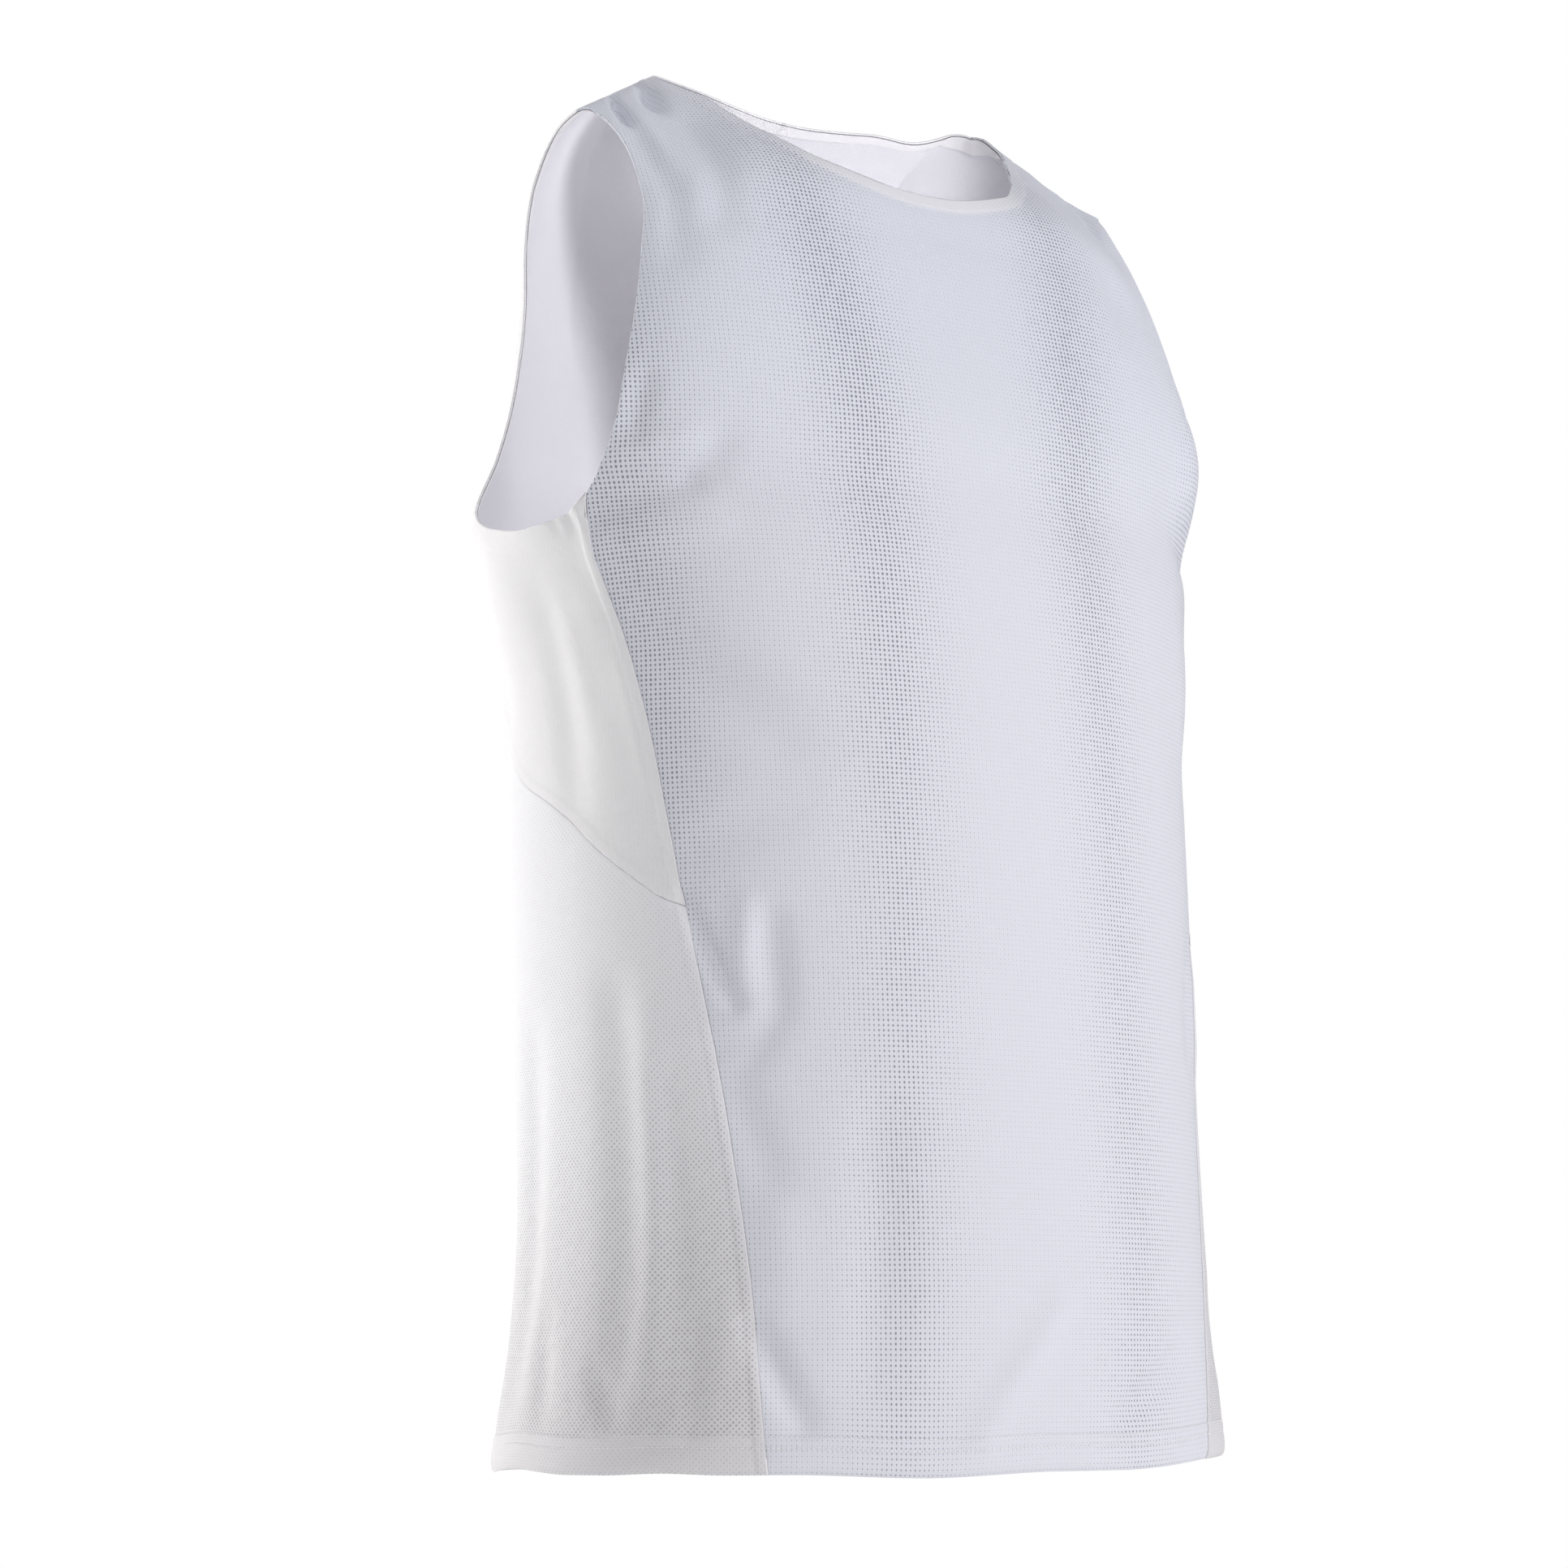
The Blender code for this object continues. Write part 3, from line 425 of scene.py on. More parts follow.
def curve(rows):
    """A fine line of places along the smooth curve through rows."""
    rows = np.array(rows, float)
    fine = smooth(np.column_stack([lengths(rows), rows]), np.linspace(0, lengths(rows)[-1], 600))
    fine[0], fine[-1] = rows[0], rows[-1]
    return fine


def joined(*lines):
    """Lines that follow each other, as one."""
    return np.concatenate([lines[0]] + [line[1:] for line in lines[1:]])


def spaced(line, count, start=(), end=()):
    """Places along a fine line: those at the given distances from its ends, and count between."""
    run = lengths(line)
    first, last = (start or (0.0,))[-1], run[-1] - (end or (0.0,))[-1]
    between = np.linspace(first, last, count + 1)
    at = np.concatenate([
        [0.0, *start[:-1]] if start else [], between,
        [run[-1] - d for d in (0.0, *end[:-1])][::-1] if end else [],
    ])
    places = np.column_stack([np.interp(at, run, line[:, k]) for k in (0, 1)])
    places[0], places[-1] = line[0], line[-1]
    return places


def number(line, start=(), end=()):
    """How many even steps fit on a line between its finer ends."""
    return max(2, round((lengths(line)[-1] - sum(s[-1] for s in (start, end) if s)) / PITCH))


def straight(a, b):
    return np.array(a) + np.outer(np.linspace(0, 1, 200), np.array(b) - np.array(a))


def mirrored(line):
    """A line or patch on the wearer's other half."""
    return line * np.array([-1.0, 1.0])


def past_back(line):
    """A line from a side to the centre back, on the other half, from the centre back on."""
    return mirrored(line[::-1]) + np.array([360.0, 0.0])


def patch(bottom, top, left, right):
    """A grid of places between four edges; left and right run from bottom to top."""
    def share(line):
        run = lengths(line)
        return run / run[-1]

    p = (share(bottom) + share(top))[None, :, None] / 2
    q = (share(left) + share(right))[:, None, None] / 2
    corners = (
        (1 - p) * (1 - q) * bottom[0] + p * (1 - q) * bottom[-1]
        + (1 - p) * q * top[0] + p * q * top[-1]
    )
    grid = (
        (1 - q) * bottom[None] + q * top[None]
        + (1 - p) * left[:, None] + p * right[:, None] - corners
    )
    grid[0], grid[-1], grid[:, 0], grid[:, -1] = bottom, top, left, right
    return grid


SEAMS = {
    "side": curve(SIDE_SEAM),
    "yoke": curve(YOKE_SEAM),
    "arm": curve(FRONT_ARMHOLE),
    "back_arm": curve(BACK_ARMHOLE),
    "under": curve(UNDERARM),
    "neck": joined(curve(FRONT_NECKLINE[:NECK_CORNER + 1]), curve(FRONT_NECKLINE[NECK_CORNER:])),
    "back_neck": curve(BACK_NECKLINE),
    "shoulder": straight(FRONT_NECKLINE[-1], FRONT_ARMHOLE[-1]),
}


def front_patches():
    """Centre, left side and left strap of the front panel."""
    arm = curve(FRONT_ARMHOLE[:STRAP_FOOT + 1])
    outer = joined(SEAMS["side"], arm)
    guide = curve(FRONT_GUIDE)
    ends = HEM_STEPS, EDGE_STEPS
    rows = number(guide, *ends)
    guide = spaced(guide, rows, *ends)
    outer = spaced(outer, rows + len(EDGE_STEPS), HEM_STEPS)
    low = curve(FRONT_NECKLINE[:NECK_CORNER + 1])
    columns = number(low)
    neck = spaced(low, columns)
    hem = spaced(straight((0.0, 0.0), guide[0]), columns)
    centre = patch(
        joined(mirrored(hem)[::-1], hem), joined(mirrored(neck)[::-1], neck), mirrored(guide), guide
    )
    across = straight(guide[-1], outer[-1])
    ends = EDGE_STEPS, EDGE_STEPS
    columns = number(straight(guide[len(guide) // 2], outer[len(guide) // 2]), *ends)
    across = spaced(across, columns, *ends)
    foot = spaced(straight(guide[0], outer[0]), columns, *ends)
    side = patch(foot, across, guide, outer)
    inner_edge, outer_edge = curve(FRONT_NECKLINE[NECK_CORNER:]), curve(FRONT_ARMHOLE[STRAP_FOOT:])
    rows = number(inner_edge, (), SEAM_STEPS)
    strap = patch(
        across, spaced(SEAMS["shoulder"], columns, *ends),
        spaced(inner_edge, rows, (), SEAM_STEPS), spaced(outer_edge, rows, (), SEAM_STEPS),
    )
    return centre, side, strap


def back_patches():
    """Main part and left wing of the yoke, and the mesh panel below them."""
    wing_seam = curve([r for r in YOKE_SEAM if r[0] < ARM_GUIDE[0][0]] + [ARM_GUIDE[0]])
    rest_seam = curve([ARM_GUIDE[0]] + [r for r in YOKE_SEAM if r[0] > ARM_GUIDE[0][0]])
    upper_side = curve(SIDE_SEAM[YOKE_CORNER:])
    guide = curve(ARM_GUIDE)
    ends = SEAM_STEPS, EDGE_STEPS
    rows = number(upper_side, *ends)
    guide = spaced(guide, rows, *ends)
    columns = number(wing_seam, SEAM_STEPS)
    wing = patch(
        spaced(wing_seam, columns, SEAM_STEPS), spaced(SEAMS["under"], columns, SEAM_STEPS),
        spaced(upper_side, rows, *ends), guide,
    )
    arm = spaced(SEAMS["back_arm"], number(SEAMS["back_arm"], (), EDGE_STEPS), (), EDGE_STEPS)
    left = joined(guide, arm)
    shoulder = np.array([180.0, 2.0]) - SEAMS["shoulder"][::-1]
    half_top = joined(
        spaced(shoulder, number(shoulder, EDGE_STEPS, EDGE_STEPS), EDGE_STEPS, EDGE_STEPS),
        spaced(SEAMS["back_neck"], number(SEAMS["back_neck"])),
    )
    half_seam = spaced(rest_seam, len(half_top) - 1 - len(EDGE_STEPS), EDGE_STEPS)
    main = patch(
        joined(half_seam, past_back(half_seam)), joined(half_top, past_back(half_top)),
        left, past_back(left)[::-1],
    )
    low_side = curve(SIDE_SEAM[:YOKE_CORNER + 1])
    ends = HEM_STEPS, SEAM_STEPS
    low_side = spaced(low_side, number(low_side, *ends), *ends)
    seam = joined(wing_seam, rest_seam)
    seam = spaced(seam, number(seam, SEAM_STEPS), SEAM_STEPS)
    hem = spaced(straight(low_side[0], (180.0, 0.0)), len(seam) - 1 - len(SEAM_STEPS), SEAM_STEPS)
    lower = patch(
        joined(hem, past_back(hem)), joined(seam, past_back(seam)),
        low_side, past_back(low_side)[::-1],
    )
    return main, wing, lower


# -------------------- measures on the cloth


def cloth_table():
    """Cloth lengths from the centre front, along the angle, and from the hem, along the height."""
    angles = np.linspace(-180, 180, 721)
    heights = np.linspace(0, 1.01, 304)
    points = body(*np.meshgrid(angles, heights))
    around = np.linalg.norm(np.diff(points, axis=1), axis=-1)
    around = np.concatenate([np.zeros((len(heights), 1)), np.cumsum(around, axis=1)], axis=1)
    around -= around[:, len(angles) // 2, None]
    up = np.linalg.norm(np.diff(points, axis=0), axis=-1)
    up = np.concatenate([np.zeros((1, len(angles))), np.cumsum(up, axis=0)])
    return angles, heights, np.stack([around, up], -1)


ANGLES, HEIGHTS, LENGTHS = cloth_table()


def grain(angle, height):
    """Cloth lengths at a place: across from the centre front, and up from the hem."""
    turned = (angle + 180) % 360 - 180
    i = (turned - ANGLES[0]) / (ANGLES[1] - ANGLES[0])
    j = height / (HEIGHTS[1] - HEIGHTS[0])
    i0 = np.clip(i.astype(int), 0, len(ANGLES) - 2)
    j0 = np.clip(j.astype(int), 0, len(HEIGHTS) - 2)
    p, q = (i - i0)[:, None], (j - j0)[:, None]
    return (
        (1 - p) * (1 - q) * LENGTHS[j0, i0] + p * (1 - q) * LENGTHS[j0, i0 + 1]
        + (1 - p) * q * LENGTHS[j0 + 1, i0] + p * q * LENGTHS[j0 + 1, i0 + 1]
    )


def distance(points, *names):
    """From each point to the nearest of these seams or edges, on either half."""
    lines = [
        body(*np.column_stack([
            np.interp(np.linspace(0, 1, 2400), np.linspace(0, 1, len(SEAMS[n])), SEAMS[n][:, k])
            for k in (0, 1)
        ]).T)
        for n in names
    ]
    lines += [line * np.array([-1.0, 1.0, 1.0]) for line in lines]
    line = np.concatenate(lines)
    tree = KDTree(len(line))
    for k, p in enumerate(line):
        tree.insert(p, k)
    tree.balance()
    return np.array([tree.find(p)[2] for p in points])


def band(d, width, soft):
    """1 within width of an edge, falling to 0 over soft beyond it."""
    return soft_step((width + soft - d) / soft)


def groove(d, at, half):
    return np.exp(-((d - at) / half) ** 2)


# -------------------- shells

RIM = (45, 90, 135)  # degrees round the rolled edge of a shell


def weld(grids):
    """The places of several grids, each once, and the quads between them."""
    places = np.concatenate([g.reshape(-1, 2) for g in grids])
    over = places[:, 1] > 1
    key = np.column_stack([
        np.where(over, 180 - places[:, 0], places[:, 0]) % 360,
        np.where(over, 2 - places[:, 1], places[:, 1]) * 100,
    ])
    _, first, index = np.unique(
        np.round(key, 4), axis=0, return_index=True, return_inverse=True
    )
    index = index.reshape(-1)
    quads, start = [], 0
    for g in grids:
        ids = index[start:start + g.shape[0] * g.shape[1]].reshape(g.shape[:2])
        start += ids.size
        quads.append(np.stack(
            [ids[:-1, :-1], ids[:-1, 1:], ids[1:, 1:], ids[1:, :-1]], -1
        ).reshape(-1, 4))
    return places[first], np.concatenate(quads)


def border(quads, count):
    """The directed edges that only one quad has."""
    edges = np.concatenate([quads[:, [k, (k + 1) % 4]] for k in range(4)])
    forward = edges[:, 0] * count + edges[:, 1]
    backward = edges[:, 1] * count + edges[:, 0]
    return edges[~np.isin(forward, backward)]


def shell(name, places, quads, lift, wall):
    """A thin closed piece of cloth whose outside lies lift above the form, its free edges rolled."""
    angle, height = places.T
    normal = outward(cloth, angle, height)
    outer = cloth(angle, height) + normal * lift[:, None]
    inner = outer - normal * wall[:, None]
    n = len(places)
    rim = border(quads, n)
    away = np.zeros((n, 3))
    sideways = np.cross(outer[rim[:, 1]] - outer[rim[:, 0]], normal[rim[:, 0]])
    for k in (0, 1):
        np.add.at(away, rim[:, k], sideways)
    on_rim = np.unique(rim)
    away = unit(away[on_rim])
    half = wall[on_rim, None] / 2
    outer[on_rim] -= (half + RIM_GAP) * away
    inner[on_rim] -= (half + RIM_GAP) * away
    rings = [
        outer[on_rim] - half * normal[on_rim]
        + half * (math.cos(math.radians(a)) * normal[on_rim] + math.sin(math.radians(a)) * away)
        for a in RIM
    ]
    points = np.concatenate([outer, inner, *rings])
    order = np.full(n, -1)
    order[on_rim] = np.arange(len(on_rim))
    levels = [rim] + [order[rim] + 2 * n + k * len(on_rim) for k in range(len(RIM))] + [rim + n]
    strips = [
        np.column_stack([a[:, 1], a[:, 0], b[:, 0], b[:, 1]]) for a, b in zip(levels, levels[1:])
    ]
    faces = np.concatenate([quads, quads[:, ::-1] + n, *strips])
    source = np.concatenate([np.arange(n), np.arange(n), *[on_rim] * len(RIM)])
    return mesh_object(name, points, faces), source


def mesh_object(name, points, faces):
    mesh = bpy.data.meshes.new(name)
    mesh.from_pydata(points.tolist(), [], faces.tolist())
    mesh.update()
    mesh.shade_smooth()
    thing = bpy.data.objects.new(name, mesh)
    bpy.context.scene.collection.objects.link(thing)
    return thing


def store(thing, name, values):
    """Values at the points, for the knit's nodes to read."""
    kind, key = ("FLOAT", "value") if values.ndim == 1 else ("FLOAT_VECTOR", "vector")
    attribute = thing.data.attributes.new(name, kind, "POINT")
    attribute.data.foreach_set(key, np.ascontiguousarray(values, np.float32).ravel())


def store_grain(thing, places, source):
    """Cloth lengths across and up, for the repeats of a knit."""
    store(thing, "grain", np.column_stack([grain(*places.T), np.zeros(len(places))])[source])


def dress(thing, node, material):
    """Gives a piece of cloth its material, sets it under the root body and hides the solid that it
    stands for.
    """
    thing.data.materials.append(material)
    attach(thing, "root")
    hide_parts(node)


def measures(places):
    """Distances from the seams and edges, and lengths of cloth, at each place."""
    points = body(*places.T)
    lengths_here = grain(*places.T)
    return {
        "side": distance(points, "side"),
        "yoke": distance(points, "yoke"),
        "neck": distance(points, "neck", "back_neck"),
        "arm": distance(points, "arm", "back_arm", "under"),
        "hem": lengths_here[:, 1],
        "across": lengths_here[:, 0],
        "drop": -points[:, 2],
    }


def edges_lift(at, hem=True):
    """The relief of folded edges: a little proud, with a dip where the fold ends."""
    lift = NECK_PROUD * band(at["neck"], EDGE_FOLD - 0.0006, 0.0009)
    lift -= 0.00022 * groove(at["neck"], EDGE_FOLD + 0.0008, 0.0008)
    lift += 0.00008 * band(at["arm"], EDGE_FOLD, 0.0020)
    if hem:
        lift += HEM_PROUD * band(at["hem"], HEM_DEEP, 0.0012)
        lift -= HEM_CURL * np.clip(1 - at["hem"] / HEM_CURL_DEEP, 0, 1) ** 2
        for row in STITCH_ROWS:
            lift -= STITCH_DIP * groove(at["hem"], row, 0.0010)
    return lift


def allowance_lift(at):
    """The relief of the white cloth beside the front: proud over the seam allowance, then a dip."""
    lift = SEAM_PROUD * band(at["side"], SEAM_ALLOWANCE - 0.0010, 0.0012)
    return lift - 0.00014 * groove(at["side"], SEAM_ALLOWANCE + 0.0009, 0.0010)


def walls(at):
    folded = np.maximum(band(at["neck"], EDGE_FOLD, 0.001), band(at["arm"], EDGE_FOLD, 0.001))
    return CLOTH + (FOLDED - CLOTH) * np.maximum(folded, band(at["hem"], HEM_DEEP, 0.001))


# -------------------- knits

EYELETS = (0.00235, 0.00240)  # repeat of the front's eyelets, across and up
BIRDSEYE = (0.0012, 0.0012)
QUINCUNX = (0.0028, 0.0028)  # repeat of the lower back's dots, with a second one in its middle
# Size of the eyelets by distance from the centre front; the side bands add to it from a distance
# that changes with the drop
EYELET_BANDS = (
    (0.000, 0.08), (0.015, 0.08), (0.032, 0.34), (0.046, 0.66), (0.060, 0.96), (0.068, 0.96),
    (0.083, 0.69), (0.096, 0.44), (0.110, 0.28),
)
BAND_SHIFT = ((0.05, 0.014), (0.10, 0.012), (0.17, 0.003), (0.23, -0.002), (0.40, 0.0), (0.60, 0.005))
SIDE_BANDS = ((0.17, 0.144), (0.23, 0.140), (0.40, 0.132), (0.50, 0.126), (0.63, 0.108))
SIDE_BAND_WIDE = 0.050
# By the drop, how much the side bands add, and how much wider the other eyelets are
SIDE_MESH = (
    (0.105, 0.0), (0.123, 0.13), (0.158, 0.72), (0.175, 0.85), (0.39, 0.85), (0.50, 0.22),
)
WIDE_MESH = ((0.04, 1.30), (0.14, 1.50), (0.26, 1.30), (0.42, 1.0))


class Knit:
    """A material, such as a knit, with short names for the nodes that it is made of."""

    def __init__(self, name):
        self.material = bpy.data.materials.new(name)
        self.material.use_nodes = True
        self.nodes = self.material.node_tree.nodes
        self.links = self.material.node_tree.links
        self.shader = self.nodes["Principled BSDF"]

    def feed(self, socket, value):
        if isinstance(value, bpy.types.NodeSocket):
            self.links.new(value, socket)
        else:
            socket.default_value = value

    def node(self, kind, *values, **settings):
        made = self.nodes.new(kind)
        for key, value in settings.items():
            setattr(made, key, value)
        for socket, value in zip([s for s in made.inputs if s.enabled], values):
            if value is not None:
                self.feed(socket, value)
        return made

    def maths(self, operation, *values):
        return self.node("ShaderNodeMath", *values, operation=operation).outputs[0]

    def times(self, first, second):
        return self.maths("MULTIPLY", first, second)

    def scaled(self, value, factor, more):
        return self.maths("MULTIPLY_ADD", value, factor, more)

    def pitted(self, loops, high, hole, deep):
        """The height of a knit with holes."""
        return self.maths("SUBTRACT", self.times(loops, high), self.times(hole, deep))

    def ramp(self, value, low, high):
        """0 below low, 1 above high, smooth between."""
        return self.node(
            "ShaderNodeMapRange", value, low, high, 0.0, 1.0, interpolation_type="SMOOTHSTEP"
        ).outputs[0]

    def mix(self, share, first, second):
        made = self.nodes.new("ShaderNodeMix")
        made.data_type = "RGBA"
        self.feed(made.inputs["Factor"], share)
        for socket, colour in (("A", first), ("B", second)):
            found = [s for s in made.inputs if s.name == socket and s.type == "RGBA"][0]
            self.feed(found, colour if isinstance(colour, bpy.types.NodeSocket) else (*colour, 1))
        return [s for s in made.outputs if s.type == "RGBA"][0]

    def stored(self, name, output="Fac"):
        return self.node("ShaderNodeAttribute", attribute_name=name).outputs[output]

    def along(self):
        """Cloth lengths across and up."""
        split = self.node("ShaderNodeSeparateXYZ", self.stored("grain", "Vector"))
        return split.outputs[0], split.outputs[1]

    def cell(self, length, pitch, shift=0.0):
        """Which repeat a length is in, and how far from its middle, from -0.5 to 0.5."""
        turns = self.maths("ADD", self.maths("DIVIDE", length, pitch), shift)
        return self.maths("FLOOR", turns), self.maths("SUBTRACT", self.maths("FRACT", turns), 0.5)

    def dots(self, across, up, pitch, shift, radius, shape, soft):
        """1 in each dot of a grid. shape is its height over its width; soft is its edge."""
        i, x = self.cell(across, pitch[0], shift)
        j, y = self.cell(up, pitch[1], shift)
        spot = self.node("ShaderNodeCombineXYZ", i, j).outputs[0]
        chance = self.node("ShaderNodeTexWhiteNoise", spot, noise_dimensions="2D").outputs["Value"]
        x = self.times(x, pitch[0] * shape**0.5)
        y = self.times(y, pitch[1] / shape**0.5)
        d = self.maths("SQRT", self.maths("ADD", self.times(x, x), self.times(y, y)))
        varied = self.times(radius, self.scaled(chance, 0.30, 0.85))
        return self.ramp(self.maths("SUBTRACT", varied, d), -soft, soft)

    def settle(self, **values):
        """Constant inputs of the shader, by their names."""
        for name, value in values.items():
            self.shader.inputs[name.replace("_", " ")].default_value = value

    def finish(self, colour, height, distance, strength=0.6, roughness=0.85, sheen=0.25):
        self.feed(self.shader.inputs["Base Color"], colour)
        bump = self.node("ShaderNodeBump")
        bump.inputs["Strength"].default_value = strength
        bump.inputs["Distance"].default_value = distance
        self.feed(bump.inputs["Height"], height)
        self.feed(self.shader.inputs["Normal"], bump.outputs[0])
        self.settle(Roughness=roughness, Sheen_Weight=sheen, Sheen_Roughness=0.5)
        self.settle(Specular_IOR_Level=0.3)
        return self.material


def ribs(knit, across, up, pitch, course):
    """The dips between the loops of a knit, in wales across and courses up, from 0 to 1."""
    wales = knit.maths("SINE", knit.times(across, 2 * math.pi / pitch))
    courses = knit.maths("SINE", knit.times(up, 2 * math.pi / course))
    both = knit.maths("ADD", knit.times(wales, 0.34), knit.times(courses, 0.16))
    return knit.maths("ADD", both, 0.5)


def mottle(knit, scale):
    """Slow unevenness, from 0 to 1."""
    return knit.node(
        "ShaderNodeTexNoise", knit.stored("grain", "Vector"), None, scale, 2.0
    ).outputs[0]


def eyelet_knit():
    """The front: pale ice-grey, a square grid of eyelets whose size follows the bands."""
    knit = Knit("eyelet_knit")
    across, up = knit.along()
    size, backed = knit.stored("open"), knit.stored("backed")
    radius = knit.scaled(size, 0.00030, 0.00020)
    hole = knit.dots(across, up, EYELETS, 0.0, radius, 1.25, 0.00022)
    loops = ribs(knit, across, up, EYELETS[0] / 2, EYELETS[1] / 2)
    base = knit.mix(mottle(knit, 60.0), (0.714, 0.727, 0.784), (0.746, 0.756, 0.806))
    cool = knit.times(knit.ramp(up, 0.38, 0.62), 0.5)
    base = knit.mix(cool, base, (0.660, 0.694, 0.775))
    # painted shade: the base darkens in the dips between the loops
    base = knit.mix(knit.times(loops, 0.10), base, (0.40, 0.41, 0.47))
    base = knit.mix(knit.times(backed, 0.75), base, (0.80, 0.795, 0.82))
    # painted shade: share darkens the eyelets towards the hole colour, for the shaded inside of the
    # garment seen through them, less where the tape backs them; it also sets how deep they dip
    share = knit.times(hole, knit.scaled(size, 0.60, 0.36))
    share = knit.times(share, knit.scaled(backed, -0.60, 1.0))
    # painted shade: the front's inside is greyer, standing in for the shade inside the garment
    reverse = knit.times(knit.stored("reverse"), 0.8)
    base = knit.mix(reverse, base, (0.60, 0.58, 0.61))
    colour = knit.mix(share, base, (0.27, 0.275, 0.33))
    return knit.finish(colour, knit.pitted(loops, 0.3, share, 1.2), 0.0003)


def birdseye_knit():
    """The yoke and wings: white, with a fine even birdseye; painted shade greys the reverse, inside
    the garment.
    """
    knit = Knit("birdseye_knit")
    across, up = knit.along()
    eye = knit.dots(across, up, BIRDSEYE, 0.0, 0.00026, 1.0, 0.00014)
    second = knit.dots(across, up, BIRDSEYE, 0.5, 0.00026, 1.0, 0.00014)
    eye = knit.maths("MAXIMUM", eye, second)
    loops = ribs(knit, across, up, BIRDSEYE[0] * 2, BIRDSEYE[1])
    base = knit.mix(mottle(knit, 50.0), (0.83, 0.828, 0.836), (0.86, 0.858, 0.864))
    # painted shade: the base darkens in the dips between the loops
    base = knit.mix(knit.times(loops, 0.07), base, (0.50, 0.50, 0.52))
    # painted shade: the yoke's inside is greyer, standing in for the shade inside the garment
    base = knit.mix(knit.stored("reverse"), base, (0.66, 0.652, 0.695))
    seam = knit.times(knit.times(knit.stored("sewn"), knit.stored("reverse")), 0.5)
    base = knit.mix(seam, base, (0.36, 0.36, 0.39))
    # painted shade: the eyes are darker, for the shade in these small holes
    colour = knit.mix(knit.times(eye, 0.22), base, (0.60, 0.60, 0.63))
    height = knit.maths("SUBTRACT", knit.times(loops, 0.3), eye)
    return knit.finish(colour, height, 0.00018)


def staggered_knit():
    """The lower back: white mesh, its dots set in quincunx."""
    knit = Knit("staggered_knit")
    across, up = knit.along()
    size = knit.stored("open")
    radius = knit.scaled(size, 0.00044, 0.00010)
    first = knit.dots(across, up, QUINCUNX, 0.0, radius, 0.9, 0.00022)
    second = knit.dots(across, up, QUINCUNX, 0.5, radius, 0.9, 0.00022)
    hole = knit.maths("MAXIMUM", first, second)
    loops = ribs(knit, across, up, QUINCUNX[0] / 2, QUINCUNX[1] / 4)
    base = knit.mix(mottle(knit, 50.0), (0.796, 0.795, 0.818), (0.830, 0.829, 0.852))
    # painted shade: the base turns darker towards the hem, where less light falls
    base = knit.mix(knit.ramp(up, 0.20, 0.00), base, (0.712, 0.704, 0.716))
    # painted shade: the base darkens in the dips between the loops
    base = knit.mix(knit.times(loops, 0.06), base, (0.45, 0.45, 0.47))
    # painted shade: the mesh's holes are painted dark for the shaded inside seen through them; share
    # also sets how deep they dip
    share = knit.times(hole, knit.scaled(size, 0.62, 0.10))
    colour = knit.mix(share, base, (0.34, 0.335, 0.36))
    return knit.finish(colour, knit.pitted(loops, 0.25, share, 1.3), 0.0003)


def bonded_tape():
    knit = Knit("bonded_tape")
    across, up = knit.along()
    loops = ribs(knit, across, up, 0.0006, 0.0006)
    base = knit.mix(mottle(knit, 80.0), (0.695, 0.69, 0.71), (0.725, 0.72, 0.74))
    return knit.finish(base, loops, 0.0001, roughness=0.7)


def sewing_thread():
    knit = Knit("sewing_thread")
    noise = knit.node("ShaderNodeTexNoise", None, None, 1800.0, 2.0).outputs[0]
    base = knit.mix(noise, (0.80, 0.80, 0.82), (0.90, 0.90, 0.91))
    return knit.finish(base, noise, 0.0001, roughness=0.6, sheen=0.1)


# -------------------- pieces of cloth


def store_reverse(thing, sheet, total):
    """1 on the cloth's inside, where the knits paint the shade inside the garment."""
    store(thing, "reverse", np.repeat((0.0, 1.0, 0.0), (sheet, sheet, total - 2 * sheet)))


def eyelet_size(at):
    """How open the front's eyelets are, from 0 to 1.2: bands beside the centre, and at the sides."""
    s = np.abs(at["across"])
    size = np.interp(s - np.interp(at["drop"], *np.transpose(BAND_SHIFT)), *np.transpose(EYELET_BANDS))
    size = size * np.interp(at["drop"], *np.transpose(WIDE_MESH))
    inner = np.interp(at["drop"], *np.transpose(SIDE_BANDS))
    amount = np.interp(at["drop"], *np.transpose(SIDE_MESH))
    size = size + amount * soft_step((s - inner) / SIDE_BAND_WIDE)
    return size * (1 - 0.25 * band(at["hem"], HEM_DEEP, 0.001))


def backed(at):
    """Where the neck tape shows through the front: all of it in the middle, less at the straps."""
    strong = 1 - 0.7 * soft_step((np.abs(at["across"]) - 0.045) / 0.05)
    return band(at["neck"], EDGE_FOLD, 0.0006) * strong


def front_panel(patches, material):
    centre, side, strap = patches
    grids = [centre, side, mirrored(side)[:, ::-1], strap, mirrored(strap)[:, ::-1]]
    places, quads = weld(grids)
    at = measures(places)
    lift = edges_lift(at) - 0.00020 * band(at["side"], 0.0003, 0.0026)
    thing, source = shell("front_panel_cloth", places, quads, lift, walls(at))
    store_grain(thing, places, source)
    store(thing, "open", eyelet_size(at)[source])
    store(thing, "backed", backed(at)[source])
    store_reverse(thing, len(places), len(source))
    dress(thing, "front_panel", material)
    return thing


def back_yoke(main, wing, material):
    other_wing = mirrored(wing[:, ::-1]) + np.array([360.0, 0.0])
    places, quads = weld([main, wing, other_wing])
    at = measures(places)
    lift = edges_lift(at, hem=False) + allowance_lift(at)
    lift += YOKE_PROUD * band(at["yoke"], 0.0045, 0.002)
    thing, source = shell("back_yoke_cloth", places, quads, lift, walls(at))
    store_grain(thing, places, source)
    store_reverse(thing, len(places), len(source))
    store(thing, "sewn", groove(at["neck"], 0.0103, 0.0010)[source])
    dress(thing, "back_yoke", material)
    return thing


